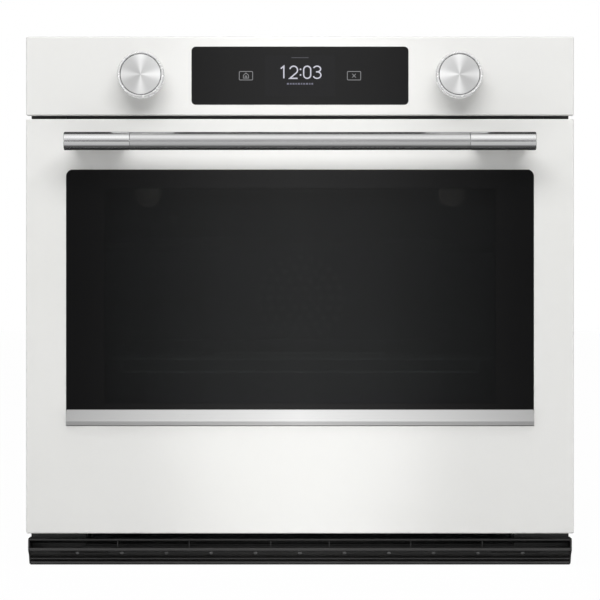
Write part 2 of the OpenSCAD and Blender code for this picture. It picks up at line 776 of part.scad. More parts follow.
module latch_motor() {
    color("#6f7276") {
        block([latch_x - 40, y_wall + 1, latch_z - 5], [latch_x + 40, y_wall + 80, latch_z - 3]);
        block([latch_x - 24, y_wall + 32, latch_z - 3], [latch_x + 24, y_wall + 76, latch_z + 22]);
        bar_z(3, [latch_x, latch_y, latch_z - 3], 12);
    }
}

module latch_hook() {
    reach = y_wall - 21.5;
    color("#c9ccd0") translate([0, 0, latch_z]) linear_extrude(latch_t) difference() {
        union() {
            translate([latch_x, latch_y]) circle(8);
            translate([latch_x - 4, reach]) square([8, latch_y - reach]);
            translate([latch_x - 10, reach]) square([14, 3.5]);
        }
        translate([latch_x, latch_y]) circle(3.08);
    }
}

module junction_box() {
    x0 = entry_x - 45;
    x1 = entry_x + 45;
    z0 = entry_z - 38;
    z1 = entry_z + 38;
    y1 = y_shell_back - sheet;
    y0 = y1 - 46;
    t = 1.2;
    color("#a9acb0") difference() {
        union() {
            difference() {
                block([x0, y0, z0], [x1, y1, z1]);
                block([x0 + t, y0 + t, z0 + t], [x1 - t, y1 - t, z1 - t]);
            }
            bar_y(15, [entry_x, y_back - 14, entry_z], 14);
        }
        bar_y(entry_r, [entry_x, y_back - 14 - over, entry_z], 14 + 2 * over);
    }
}

module chassis_fasteners() {
    color("#d0d2d4") {
        // Screws of the back panel.
        for (side = [-1, 1], z = [45, 210, 375, 540, 690])
            mirror([0, 1, 0]) bar_y(4.5, [side * (shell_x - 8), -y_back, z], y_back - y_shell_back);
        for (x = [-230, 0, 230], z = [36, 698])
            mirror([0, 1, 0]) bar_y(4.5, [x, -y_back, z], y_back - y_shell_back);
        // Screws of the front frame.
        for (side = [-1, 1], z = [130, 250, 370, 490, 610]) bar_y(4, [side * 350, y_frame - 1.3, z], 1.3);
        // Spring clips at the foot of the control panel.
        both_sides() block([329, y_frame - 5, panel_z - 8], [343, y_frame, panel_z + 2]);
    }
    // Rivets of the vent trim, square to its slope.
    color("#3c3d40") for (i = [0 : rivet_count - 1])
        translate([(i - (rivet_count - 1) / 2) * rivet_pitch, vent_front + 10.795, 17.832])
            rotate([127.38, 0, 0]) translate([0, 0, 0.603]) cylinder(r1 = 2.4, r2 = 1.6, h = 1.2);
}

// ---------- Door ----------

module door_skin() {
    x = front_w / 2;
    lip = 25;
    notch = 8;
    color("#ecece9") difference() {
        union() {
            slab_xz(y_face, y_face + skin_t) translate([-x, door_z]) square([front_w, door_h]);
            slab_xz(y_face, y_skin_back) difference() {
                translate([-x, door_z]) square([front_w, door_h]);
                translate([-x + skin_t, door_z + skin_t]) square([front_w - 2 * skin_t, door_h - 2 * skin_t]);
            }
            // Inward lip along both sides and the top.
            slab_xz(y_skin_back - skin_t, y_skin_back) difference() {
                translate([-x, door_z + 60]) square([front_w, door_h - 60]);
                translate([-x + lip + 2, door_z]) square([front_w - 2 * (lip + 2), door_h - 14]);
            }
        }
        slab_xz(y_face - over, y_face + skin_t + over) window_outline(0);
        // The lower edge is shallower, to clear the frame as the door swings.
        block([-x - over, y_face + 25, door_z - over], [x + over, y_skin_back + over, door_z + 12]);
        for (side = [-1, 1]) {
            block([side * hinge_x - notch, hinge_y - 12, door_z - over],
                [side * hinge_x + notch, y_skin_back + over, door_z + 4]);
            for (p = post_screws) bar_y(3, [side * p.x, y_face - over, p.y], skin_t + 2 * over);
        }
    }
}

module window_outline(play) {
    r = 9 - play;
    x = window_w / 2 - play;
    lo = window_z + play;
    hi = window_top - play;
    translate([-x, lo]) square([2 * x, hi - lo - r]);
    translate([-x + r, lo]) square([2 * (x - r), hi - lo]);
    for (side = [-1, 1]) translate([side * (x - r), hi - r]) circle(r);
}

module outer_glass() {
    color("#0d0d0f") slab_xz(y_face + 0.2, y_face + 4.2) window_outline(0.4);
}

module sill_trim() {
    x = window_w / 2 - 0.4;
    y0 = y_face + 0.2;
    tip = y0 - sill_reach;
    lo = window_z + 0.4;
    color("#c9cacb") run_x(-x, x) polygon([
        [y0, lo + sill_h], [y0 - 0.6, lo + sill_h - 0.1], [tip + 0.3, lo + 7.2], [tip, lo + 6.4],
        [tip, lo + 1.2], [tip + 0.6, lo + 0.3], [tip + 1.4, lo], [y0, lo]
    ]);
}

inner_window = [[-279, 223], [279, 533]];
glass_edge = [14, 10];

module inner_glass_pack() {
    color("#9fb4b0") {
        slab_xz(y_face + 18, y_face + 21)
            round_rect(inner_window[0] - glass_edge, inner_window[1] + glass_edge, 6);
        slab_xz(y_door_back - 4.2, y_door_back - 0.2) round_rect(inner_window[0] + [0.5, 0.5],
            inner_window[1] - [0.5, 0.5], 10);
    }
}

liner_x = 358;
liner_lo = 60;
liner_hi = 612;

module door_liner() {
    slot = 7;
    color("#2b2e36") difference() {
        union() {
            slab_xz(y_door_back - liner, y_door_back) difference() {
                round_rect([-liner_x, liner_lo], [liner_x, liner_hi], 6);
                round_rect(inner_window[0], inner_window[1], 10.5);
            }
            slab_xz(y_skin_back, y_door_back) difference() {
                round_rect([-liner_x, liner_lo], [liner_x, liner_hi], 6);
                round_rect([-liner_x + 1.2, liner_lo + 1.2], [liner_x - 1.2, liner_hi - 1.2], 4.8);
            }
            // Ledge behind the inner glass.
            slab_xz(y_door_back - 6, y_door_back - 4.2) difference() {
                round_rect(inner_window[0] - [6, 6], inner_window[1] + [6, 6], 12);
                round_rect(inner_window[0] + [3, 3], inner_window[1] - [3, 3], 8);
            }
            slab_xz(y_door_back - 6, y_door_back) difference() {
                round_rect(inner_window[0] - [6, 6], inner_window[1] + [6, 6], 12);
                round_rect(inner_window[0], inner_window[1], 10.5);
            }
        }
        for (side = [-1, 1])
            block([side * hinge_x - slot, y_skin_back - over, liner_lo - over],
                [side * hinge_x + slot, y_door_back + over, hinge_z + 12]);
    }
}

module door_insulation() {
    lo = inner_window[0] - glass_edge;
    hi = inner_window[1] + glass_edge;
    color("#d9cfa8") slab_xz(y_face + 8, y_skin_back - 2) difference() {
        translate([-318, liner_lo + 2]) square([636, 540]);
        translate(lo) square(hi - lo);
    }
}

module door_top_trim() {
    x = front_w / 2 - 4;
    lo = liner_hi;
    hi = door_top - 0.5;
    y1 = y_door_back - 0.5;
    t = 1.5;
    color("#17181a") difference() {
        block([-x, y_skin_back, lo], [x, y1, hi]);
        block([-x + t, y_skin_back - over, lo + t], [x - t, y1 - t, hi - t]);
        block([latch_slot_x[0], y1 - t - over, latch_z - 2], [latch_slot_x[1], y1 + over, latch_z + latch_t + 2]);
        for (i = [-8 : 8]) block([i * 42 - 15, y_skin_back + 4, hi - t - over], [i * 42 + 15, y_skin_back + 8, hi + over]);
    }
}

handle_r = handle_d / 2;
handle_y = y_handle + handle_r;
spigot_r = 8;
spigot_l = 40;
bar_half = handle_l / 2 - sleeve_l;
post_x = [243, 314];
post_screws = [[258, handle_z], [299, handle_z]];

module handle_bar() {
    bore = spigot_r - 2;
    reach = bar_half + spigot_l;
    color("#aeb0b2") difference() {
        union() {
            bar_x(handle_r - 0.15, [-bar_half, handle_y, handle_z], 2 * bar_half);
            bar_x(spigot_r, [-reach, handle_y, handle_z], 2 * reach);
        }
        bar_x(bore, [-reach - over, handle_y, handle_z], 2 * (reach + over));
    }
}

module handle_sleeves() {
    edge = 0.8;
    color("#d6d7d8") both_sides() translate([bar_half, handle_y, handle_z]) rotate([0, 90, 0])
        rotate_extrude() polygon([
            [spigot_r, 0], [handle_r - 0.3, 0], [handle_r, 0.3], [handle_r, sleeve_l - edge],
            [handle_r - edge, sleeve_l], [0, sleeve_l], [0, spigot_l], [spigot_r, spigot_l]
        ]);
}

module handle_posts() {
    root_h = 8.5;
    tip_h = 7;
    color("#c9cacb") both_sides() difference() {
        run_x(post_x[0], post_x[1]) polygon([
            [y_face, handle_z - root_h], [y_face - 6, handle_z - tip_h], [handle_y, handle_z - tip_h],
            [handle_y, handle_z + tip_h], [y_face - 6, handle_z + tip_h], [y_face, handle_z + root_h]
        ]);
        bar_x(handle_r, [post_x[0] - over, handle_y, handle_z], post_x[1] - post_x[0] + 2 * over);
        for (p = post_screws) bar_y(2.5, [p.x, y_face - 14, p.y], 14 + over);
    }
}

module door_fasteners() {
    // Handle screws, from inside the skin.
    color("#d0d2d4") both_sides() for (p = post_screws) {
        bar_y(2.5, [p.x, y_face - 13, p.y], 13 + skin_t);
        bar_y(5, [p.x, y_face + skin_t, p.y], 3);
    }
    // Screws of the liner.
    color("#d0d2d4") for (side = [-1, 1], z = [120, 240, 360, 480, 590])
        bar_y(3.6, [side * 348, y_door_back, z], 1.2);
}

module hinge_channels() {
    x0 = hinge_x - channel_w / 2;
    x1 = hinge_x + channel_w / 2;
    y0 = y_face + 8;
    y1 = y_door_back - 8;
    top = 290;
    color("#8a8d90") both_sides() {
        difference() {
            union() {
                block([x0, y0, liner_lo + 2], [x0 + 2, y1, top]);
                block([x1 - 2, y0, liner_lo + 2], [x1, y1, top]);
                block([x0, y0, hinge_z + 24], [x1, y0 + 2, top]);
                block([x0, y0, abutment_z], [x1, y1, abutment_z + 2]);
                block([x0, y0, top - 2], [x1, y1, top]);
            }
            bar_z(rod_r + 0.3, [hinge_x, hinge_y, abutment_z - over], 2 + 2 * over);
            bar_x(hinge_pin_r, [x0 - over, hinge_y, hinge_z], channel_w + 2 * over);
        }
        // Hinge pin.
        bar_x(hinge_pin_r, [x0 - 2, hinge_y, hinge_z], channel_w + 4);
    }
}

// Compression spring as a swept helix.
spring_r = 6.5;
spring_wire = 1.2;
spring_turns = 10;
spring_steps = 12;
spring_sides = 6;
function helix_point(i) = let (n = spring_turns * spring_steps, a = i * 360 / spring_steps)
    [spring_r * cos(a), spring_r * sin(a),
        abutment_z + 2 + spring_wire + (seat_z - abutment_z - 2 - 2 * spring_wire) * i / n];
function helix_ring(i) = let (a = i * 360 / spring_steps, p = helix_point(i)) [
    for (k = [0 : spring_sides - 1]) let (b = k * 360 / spring_sides + 15)
        p + spring_wire * 0.98 * [cos(b) * cos(a), cos(b) * sin(a), sin(b)]
];

module spring() {
    n = spring_turns * spring_steps;
    s = spring_sides;
    polyhedron(
        points = [for (i = [0 : n]) each helix_ring(i)],
        faces = concat(
            [[for (k = [0 : s - 1]) k]],
            [[for (k = [s - 1 : -1 : 0]) n * s + k]],
            [for (i = [0 : n - 1], k = [0 : s - 1])
                [i * s + k, (i + 1) * s + k, (i + 1) * s + (k + 1) % s, i * s + (k + 1) % s]]
        )
    );
}

module hinge_springs() { color("#5a5d60") for (side = [-1, 1]) translate([side * hinge_x, hinge_y, 0]) spring(); }

module hinge_rods() {
    leg_lo = hinge_z + 22;
    color("#8a8d90") both_sides() {
        for (x = [hinge_x - 8, hinge_x + 5.5]) block([x, hinge_y - 4, leg_lo], [x + 2.5, hinge_y + 4, 126]);
        block([hinge_x - 8, hinge_y - 6, 125], [hinge_x + 8, hinge_y + 6, 129]);
        bar_z(rod_r, [hinge_x, hinge_y, 128], seat_z - 127);
        bar_z(8, [hinge_x, hinge_y, seat_z], 4);
    }
}

// ---------- Racks and fan ----------

// A welded wire rack whose side rails lie at height z.
module rack(z) {
    x = rack_x;
    inset = rack_bend;
    guard = 20;
    for (side = [-1, 1]) bar_y(rail_r, [side * x, rack_front + inset, z], rack_back - rack_front - 2 * inset);
    for (y = [rack_front, rack_back]) bar_x(rail_r, [-x + inset, y, z], 2 * (x - inset));
    bend_xy([-x + inset, rack_front + inset, z], inset, rail_r, 180, 90);
    bend_xy([x - inset, rack_front + inset, z], inset, rail_r, 270, 90);
    bend_xy([x - inset, rack_back - inset, z], inset, rail_r, 0, 90);
    bend_xy([-x + inset, rack_back - inset, z], inset, rail_r, 90, 90);
    for (y = [rack_front + 145, rack_back - 145]) bar_x(rail_r, [-x, y, z], 2 * x);
    for (i = [-7 : 7]) bar_y(wire_r, [i * wire_pitch, rack_front - 1, z + wire_rise], rack_back - rack_front + 2);
    // Raised pull in the middle of the front, and a guard along the back.
    bar_x(wire_r, [-117, rack_front, z + 7.4], 234);
    for (side = [-1, 1]) bar_z(wire_r, [side * 113, rack_front, z], 8);
    bar_x(wire_r, [-250, rack_back, z + guard], 500);
    for (side = [-1, 0, 1]) bar_z(wire_r, [side * 236.4, rack_back, z], guard + 1);
}

module upper_rack() {
    color("#b4b6b8") {
        rack(upper_rack_z);
        // Hooked feet under the front.
        for (side = [-1, 1]) {
            bar_z(wire_r, [side * 253, rack_front, upper_rack_z - 21], 21);
            bar_x(wire_r, [side * 246 - 8, rack_front, upper_rack_z - 21], 16);
        }
    }
}

module lower_rack() {
    color("#b4b6b8") {
        rack(lower_rack_z);
        // Truss bar under the front.
        bar_x(wire_r, [-254, rack_front, lower_rack_z - 19], 508);
        for (side = [-1, 1]) bar_z(wire_r, [side * 252, rack_front, lower_rack_z - 19], 19);
    }
}

module convection_fan() {
    back = y_cavity_back - 8;
    color("#c9ccd0") translate([0, 0, fan_z]) {
        bar_y(shaft_r, [0, back - 20, 0], 20 + 8 + liner + blanket_t + 20);
        difference() {
            union() {
                bar_y(fan_r, [0, back - 1.2, 0], 1.2);
                bar_y(11, [0, back - 18, 0], 18);
                for (i = [0 : 11]) rotate([0, i * 30, 0])
                    translate([30, back - 20, -0.8]) cube([fan_r - 31, 19.5, 1.6]);
            }
            bar_y(shaft_r, [0, back - 25, 0], 50);
        }
    }
}

// ---------- What is drawn ----------

front_frame();
mounting_rails();
left_side_panel();
right_side_panel();
top_panel();
back_panel();
base_pan();
base_runners();
cavity_left_wall();
cavity_right_wall();
cavity_ceiling();
cavity_floor();
cavity_back_wall();
insulation_blanket();
door_gasket();
broil_element();
bake_element();
convection_element();
fan_baffle();
convection_motor();
cavity_lamps();
temperature_probe();
control_fascia();
fascia_carrier();
display_glass();
display_board();
knob_encoders();
power_board();
blower_housing();
blower_motor();
cooling_duct();
vent_trim();
vent_louver();
hinge_arms();
latch_motor();
junction_box();
chassis_fasteners();
door_skin();
outer_glass();
sill_trim();
inner_glass_pack();
door_liner();
door_insulation();
door_top_trim();
handle_bar();
handle_sleeves();
handle_posts();
door_fasteners();
hinge_channels();
hinge_springs();
hinge_rods();
left_knob();
right_knob();
left_plunger();
right_plunger();
upper_rack();
lower_rack();
convection_fan();
blower_wheel();
latch_hook();
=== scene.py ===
"""Looks of a built-in wall oven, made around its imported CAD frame. Metres, +Z up, the front faces -Y."""
import json
import math

import bpy
import bmesh
from mathutils import Matrix, Vector

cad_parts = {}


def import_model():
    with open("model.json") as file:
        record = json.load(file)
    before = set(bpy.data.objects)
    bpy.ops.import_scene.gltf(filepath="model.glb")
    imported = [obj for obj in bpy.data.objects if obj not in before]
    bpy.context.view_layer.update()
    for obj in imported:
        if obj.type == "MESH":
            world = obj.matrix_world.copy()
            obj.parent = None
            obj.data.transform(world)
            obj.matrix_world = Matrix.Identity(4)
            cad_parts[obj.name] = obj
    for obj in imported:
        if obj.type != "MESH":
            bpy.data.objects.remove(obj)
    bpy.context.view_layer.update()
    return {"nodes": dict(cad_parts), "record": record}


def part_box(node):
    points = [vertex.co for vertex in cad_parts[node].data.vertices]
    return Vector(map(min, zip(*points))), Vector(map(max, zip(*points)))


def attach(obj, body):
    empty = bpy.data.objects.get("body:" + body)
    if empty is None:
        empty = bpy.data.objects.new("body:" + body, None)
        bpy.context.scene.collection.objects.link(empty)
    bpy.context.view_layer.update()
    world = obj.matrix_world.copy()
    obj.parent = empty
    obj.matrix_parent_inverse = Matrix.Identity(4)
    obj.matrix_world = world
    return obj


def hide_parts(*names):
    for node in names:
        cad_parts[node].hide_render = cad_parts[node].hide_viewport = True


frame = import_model()
SLOT_OF = {row["node"]: row["material_slot"] for row in frame["record"]["subparts"]}
MM = 0.001

# Places taken from the frame.
SKIN_LO, SKIN_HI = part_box("door_skin")
PANEL_LO, PANEL_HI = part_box("control_fascia")
GLASS_LO, GLASS_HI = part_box("outer_glass")
SCREEN_LO, SCREEN_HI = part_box("display_glass")
SILL_LO, SILL_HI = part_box("sill_trim")
BAR_LO, BAR_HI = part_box("handle_bar")
SLEEVE_LO, SLEEVE_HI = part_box("handle_sleeves")
POST_LO, POST_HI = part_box("handle_posts")
VENT_LO, VENT_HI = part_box("vent_trim")
GASKET_LO, GASKET_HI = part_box("door_gasket")
Y_FACE = SKIN_LO.y
SHEET = 1.5 * MM
HINGE_X = 0.340
# The gap over the door sits a little lower on the finished shells.
GAP_DROP = 0.8 * MM
SKIN_HI.z -= GAP_DROP
PANEL_LO.z -= GAP_DROP


# ---------- Materials ----------

class Graph:
    """A node tree with short names for the nodes that are used again and again."""

    def __init__(self, tree):
        self.tree = tree

    def add(self, kind, **settings):
        node = self.tree.nodes.new(kind)
        for key, value in settings.items():
            setattr(node, key, value)
        return node

    def put(self, source, target):
        self.tree.links.new(source, target)

    def feed(self, value, socket):
        """Links an output to the socket, or sets the socket to a number."""
        if isinstance(value, (int, float)):
            socket.default_value = value
        else:
            self.put(value, socket)

    def split(self, coordinates, letter):
        parts = self.add("ShaderNodeSeparateXYZ")
        self.put(self.add("ShaderNodeTexCoord").outputs[coordinates], parts.inputs["Vector"])
        return parts.outputs[letter]

    def math(self, operation, a, b=0.0):
        node = self.add("ShaderNodeMath", operation=operation)
        self.feed(a, node.inputs[0])
        self.feed(b, node.inputs[1])
        return node.outputs[0]

    def ramp(self, source, *stops):
        """Each stop is (place, grey or colour)."""
        node = self.add("ShaderNodeValToRGB")
        while len(node.color_ramp.elements) < len(stops):
            node.color_ramp.elements.new(0.5)
        for element, (place, colour) in zip(node.color_ramp.elements, stops):
            element.position = place
            grey = isinstance(colour, (int, float))
            element.color = (colour,) * 3 + (1,) if grey else tuple(colour) + (1,)
        self.put(source, node.inputs["Fac"])
        return node.outputs["Color"]

    def span(self, source, low, high, to_low, to_high):
        node = self.add("ShaderNodeMapRange")
        for socket, value in zip(list(node.inputs)[1:5], (low, high, to_low, to_high)):
            socket.default_value = value
        self.put(source, node.inputs["Value"])
        return node.outputs["Result"]


class Shader(Graph):
    """A Principled material. Each keyword sets one of its sockets."""

    def __init__(self, name, **values):
        self.material = bpy.data.materials.new(name)
        self.material.use_nodes = True
        super().__init__(self.material.node_tree)
        self.bsdf = self.tree.nodes["Principled BSDF"]
        for key, value in values.items():
            self.bsdf.inputs[key.replace("_", " ")].default_value = value

    def drive(self, socket, source):
        self.put(source, self.bsdf.inputs[socket])

    def place(self, stretch=(1, 1, 1)):
        """Object coordinates, stretched."""
        mapping = self.add("ShaderNodeMapping")
        mapping.inputs["Scale"].default_value = stretch
        self.put(self.add("ShaderNodeTexCoord").outputs["Object"], mapping.inputs["Vector"])
        return mapping.outputs["Vector"]

    def axis(self, letter):
        return self.split("Object", letter)

    def noise(self, scale, detail=3.0, stretch=(1, 1, 1), rough=0.5):
        node = self.add("ShaderNodeTexNoise")
        node.inputs["Scale"].default_value = scale
        node.inputs["Detail"].default_value = detail
        node.inputs["Roughness"].default_value = rough
        self.put(self.place(stretch), node.inputs["Vector"])
        return node.outputs["Fac"]

    def cells(self, scale, feature="F1", output="Color", stretch=(1, 1, 1)):
        node = self.add("ShaderNodeTexVoronoi", feature=feature)
        node.inputs["Scale"].default_value = scale
        self.put(self.place(stretch), node.inputs["Vector"])
        return node.outputs[output]

    def blend(self, share, a, b):
        """Mixes two colours, each a tuple or an output."""
        node = self.add("ShaderNodeMix", data_type="RGBA")
        self.feed(share, node.inputs[0])
        for socket, value in ((node.inputs[6], a), (node.inputs[7], b)):
            if isinstance(value, tuple):
                socket.default_value = value + (1,)
            else:
                self.put(value, socket)
        return node.outputs[2]

    def bump(self, height, strength, distance=0.001):
        node = self.add("ShaderNodeBump")
        node.inputs["Strength"].default_value = strength
        node.inputs["Distance"].default_value = distance
        self.put(height, node.inputs["Height"])
        self.drive("Normal", node.outputs["Normal"])

    def turned(self, axis):
        """Stretches highlights across marks that run round the axis."""
        node = self.add("ShaderNodeTangent", direction_type="RADIAL", axis=axis)
        self.drive("Tangent", node.outputs["Tangent"])


def white_enamel():
    s = Shader("white_enamel", IOR=1.5, Coat_Weight=0.25, Coat_Roughness=0.12)
    tone = s.noise(3.0, 2)
    s.drive("Base Color", s.ramp(tone, (0.3, (0.845, 0.843, 0.822)), (0.7, (0.865, 0.863, 0.845))))
    s.drive("Roughness", s.span(s.noise(40, 4), 0.3, 0.7, 0.30, 0.37))
    s.bump(s.noise(420, 2), 0.035, 0.0004)
    return s.material


def black_paint():
    s = Shader("black_paint", IOR=1.5)
    tone = s.noise(14, 5)
    s.drive("Base Color", s.ramp(tone, (0.3, (0.026, 0.0255, 0.025)), (0.75, (0.034, 0.0335, 0.033))))
    s.drive("Roughness", s.span(s.noise(90, 4), 0.3, 0.7, 0.34, 0.46))
    s.bump(s.noise(900, 3), 0.12, 0.0003)
    return s.material


def zinc_colour(s):
    """Spangled zinc: base colour and roughness for each crystal."""
    # One number for each crystal, from its random colour.
    tone = s.math("MULTIPLY", s.cells(75), 1.0)
    s.drive("Roughness", s.span(tone, 0.0, 1.0, 0.36, 0.54))
    plain = s.ramp(tone, (0.0, (0.50, 0.515, 0.53)), (1.0, (0.66, 0.675, 0.69)))
    worn = s.noise(5, 6)
    return s.blend(s.span(worn, 0.45, 0.8, 0.0, 0.35), plain, (0.44, 0.45, 0.46))


def zinc_sheet():
    s = Shader("zinc_sheet", Metallic=0.85)
    s.drive("Base Color", zinc_colour(s))
    s.bump(s.cells(75, output="Distance"), 0.05, 0.0004)
    return s.material


def painted_toe_sheet():
    """Zinc sheet whose front, behind the vent, is painted black."""
    s = Shader("painted_toe_sheet")
    behind = s.span(s.axis("Y"), -0.2, -0.17, 0.0, 1.0)
    s.drive("Base Color", s.blend(behind, (0.011, 0.011, 0.011), zinc_colour(s)))
    s.drive("Metallic", s.math("MULTIPLY", behind, 0.85))
    s.bump(s.noise(600, 2), 0.06, 0.0003)
    return s.material


def cavity_enamel():
    s = Shader("cavity_enamel", IOR=1.52, Coat_Weight=0.5, Coat_Roughness=0.08)
    fleck = s.math("LESS_THAN", s.cells(520, output="Distance"), 0.17)
    large = s.noise(9, 5)
    ground = s.ramp(large, (0.3, (0.018, 0.020, 0.027)), (0.7, (0.028, 0.031, 0.040)))
    s.drive("Base Color", s.blend(fleck, ground, (0.17, 0.18, 0.20)))
    s.drive("Roughness", s.span(s.noise(30, 5), 0.3, 0.75, 0.16, 0.30))
    s.bump(s.noise(150, 3), 0.10, 0.0005)
    return s.material


def mineral_wool():
    s = Shader("mineral_wool", Sheen_Weight=0.3)
    fibre = s.noise(90, 8, (1, 1, 5), 0.7)
    s.drive("Base Color", s.ramp(fibre, (0.3, (0.50, 0.44, 0.27)), (0.7, (0.80, 0.74, 0.55))))
    s.drive("Roughness", s.span(fibre, 0.2, 0.8, 0.85, 0.98))
    s.bump(fibre, 0.9, 0.003)
    return s.material


def woven_gasket():
    s = Shader("woven_gasket")
    one = s.add("ShaderNodeTexWave", bands_direction="DIAGONAL")
    one.inputs["Scale"].default_value = 160
    s.put(s.place(), one.inputs["Vector"])
    two = s.add("ShaderNodeTexWave", bands_direction="DIAGONAL")
    two.inputs["Scale"].default_value = 160
    s.put(s.place((-1, 1, 1)), two.inputs["Vector"])
    braid = s.math("MAXIMUM", one.outputs["Fac"], two.outputs["Fac"])
    s.drive("Base Color", s.ramp(braid, (0.2, (0.09, 0.09, 0.095)), (0.9, (0.26, 0.26, 0.265))))
    s.drive("Roughness", s.span(s.noise(200, 3), 0.2, 0.8, 0.7, 0.9))
    s.bump(braid, 0.6, 0.0008)
    return s.material


def heater_sheath():
    s = Shader("heater_sheath", Metallic=0.7)
    heat = s.noise(7, 5)
    s.drive("Base Color", s.ramp(heat, (0.3, (0.055, 0.05, 0.048)), (0.55, (0.10, 0.085, 0.075)),
                                 (0.75, (0.16, 0.125, 0.10))))
    s.drive("Roughness", s.span(s.noise(60, 5), 0.3, 0.7, 0.48, 0.68))
    s.bump(s.noise(500, 4), 0.15, 0.0003)
    return s.material


def motor_steel():
    s = Shader("motor_steel", Metallic=0.8)
    tone = s.noise(18, 5)
    s.drive("Base Color", s.ramp(tone, (0.3, (0.27, 0.275, 0.285)), (0.75, (0.37, 0.375, 0.385))))
    s.drive("Roughness", s.span(s.noise(120, 4), 0.3, 0.7, 0.36, 0.52))
    s.bump(s.noise(700, 3), 0.08, 0.0003)
    return s.material


def pane_glass(name, ground, inner_alpha=1.0, clear=None):
    """Dark gloss glass. clear is the (low, high) X and Z of a region that shows what is behind it."""
    s = Shader(name, IOR=1.5, Coat_Weight=0.0)
    streak = s.noise(2.2, 3)
    high = tuple(c * 1.12 for c in ground)
    s.drive("Base Color", s.ramp(streak, (0.3, ground), (0.7, high)))
    s.drive("Roughness", s.span(s.noise(6, 4), 0.3, 0.7, 0.015, 0.035))
    if clear:
        (x_lo, x_hi), (z_lo, z_hi) = clear
        soft = 0.004
        across = s.math("MULTIPLY", s.span(s.axis("X"), x_lo, x_lo + soft, 0, 1),
                        s.span(s.axis("X"), x_hi - soft, x_hi, 1, 0))
        up = s.math("MULTIPLY", s.span(s.axis("Z"), z_lo, z_lo + soft, 0, 1),
                    s.span(s.axis("Z"), z_hi - soft, z_hi, 1, 0))
        inside = s.math("MULTIPLY", across, up)
        s.drive("Alpha", s.span(inside, 0.0, 1.0, 1.0, inner_alpha))
    return s.material


def clear_glass():
    s = Shader("clear_glass", IOR=1.5, Alpha=0.14)
    s.drive("Base Color", s.ramp(s.noise(4, 2), (0.3, (0.30, 0.36, 0.34)), (0.7, (0.36, 0.42, 0.40))))
    s.drive("Roughness", s.span(s.noise(8, 4), 0.3, 0.7, 0.01, 0.03))
    return s.material


def brushed(name, low, high, rough, anisotropy, grain, bump=0.08, ends=None):
    """Metal brushed along X. Its tone can pass to ends at the oven's sides, a painted reflection that is
    brightest at the middle.
    """
    s = Shader(name, Metallic=1.0, Anisotropic=anisotropy)
    lines = s.noise(grain, 4, (1.5, 260, 260), 0.6)
    tone = s.ramp(lines, (0.25, low), (0.75, high))
    # Painted reflection: the tone falls off to the darker ends towards the oven's sides.
    if ends:
        painted_falloff = s.span(s.math("ABSOLUTE", s.axis("X")), 0.0, SILL_SHEEN_FALLOFF, 0.0, 1.0)
        tone = s.blend(painted_falloff, tone, ends)
    s.drive("Base Color", tone)
    s.drive("Roughness", s.span(lines, 0.25, 0.75, rough - 0.04, rough + 0.05))
    s.bump(lines, bump, 0.0002)
    s.turned("X")
    return s.material


def spun(name, rough, inward):
    """Aluminium turned on a lathe about the object's own Y axis. Its colour carries painted sheen in four
    bright wedges and painted light on a lighter side towards inward * X.
    """
    s = Shader(name, Metallic=0.2, IOR=1.5, Anisotropic=0.4)
    flat = s.place((1, 0, 1))
    length = s.add("ShaderNodeVectorMath", operation="LENGTH")
    s.put(flat, length.inputs[0])
    ring = s.add("ShaderNodeTexNoise", noise_dimensions="1D")
    ring.inputs["Scale"].default_value = 2600
    ring.inputs["Detail"].default_value = 4
    s.put(length.outputs["Value"], ring.inputs["W"])
    lines = ring.outputs["Fac"]
    across, up = s.math("MULTIPLY", s.axis("X"), inward), s.axis("Z")
    angle = s.math("ARCTAN2", up, across)
    # Painted sheen: the colour is lighter in four wedges along the axes.
    painted_sheen = s.math("ABSOLUTE", s.math("COSINE", s.math("MULTIPLY", angle, 2.0)))
    painted_sheen = s.math("POWER", painted_sheen, 5.0)
    # Painted light: the side towards inward * X is lighter.
    facing = s.span(s.math("COSINE", angle), -1, 1, 0.79, 1.0)
    tone = s.math("MULTIPLY", s.span(painted_sheen, 0, 1, 0.69, 1.0), facing)
    tone = s.math("MULTIPLY", tone, s.span(lines, 0.3, 0.7, 0.965, 1.0))
    s.drive("Base Color", s.ramp(tone, (0.0, 0.0), (1.0, (1.0, 1.0, 1.0))))
    s.drive("Roughness", s.span(lines, 0.3, 0.7, rough - 0.04, rough + 0.05))
    s.bump(lines, 0.05, 0.0002)
    s.turned("Y")
    return s.material


def circuit_board():
    s = Shader("circuit_board", IOR=1.5)
    trace = s.math("GREATER_THAN", s.cells(90, "DISTANCE_TO_EDGE", "Distance"), 0.06)
    s.drive("Base Color", s.blend(trace, (0.30, 0.34, 0.12), (0.015, 0.10, 0.045)))
    s.drive("Roughness", s.span(s.noise(50, 3), 0.3, 0.7, 0.3, 0.45))
    s.bump(trace, 0.2, 0.0003)
    return s.material


def plastic(name, low, high, rough):
    s = Shader(name, IOR=1.47)
    s.drive("Base Color", s.ramp(s.noise(22, 4), (0.3, low), (0.7, high)))
    s.drive("Roughness", s.span(s.noise(60, 4), 0.3, 0.7, rough - 0.05, rough + 0.07))
    s.bump(s.noise(1300, 2), 0.18, 0.0002)
    return s.material


def metal(name, low, high, rough, scale=25, metallic=1.0, bump=0.05):
    s = Shader(name, Metallic=metallic)
    tone = s.noise(scale, 5)
    s.drive("Base Color", s.ramp(tone, (0.3, low), (0.75, high)))
    s.drive("Roughness", s.span(s.noise(scale * 4, 4), 0.3, 0.7, rough - 0.05, rough + 0.07))
    s.bump(s.noise(scale * 25, 3), bump, 0.0003)
    return s.material


def lamp_glass():
    s = Shader("lamp_glass", IOR=1.5, Alpha=0.55)
    dimple = s.cells(160, output="Distance")
    s.drive("Base Color", s.ramp(dimple, (0.0, (0.60, 0.58, 0.52)), (0.6, (0.78, 0.76, 0.7))))
    s.drive("Roughness", s.span(s.noise(80, 3), 0.3, 0.7, 0.12, 0.25))
    s.bump(dimple, 0.4, 0.001)
    return s.material


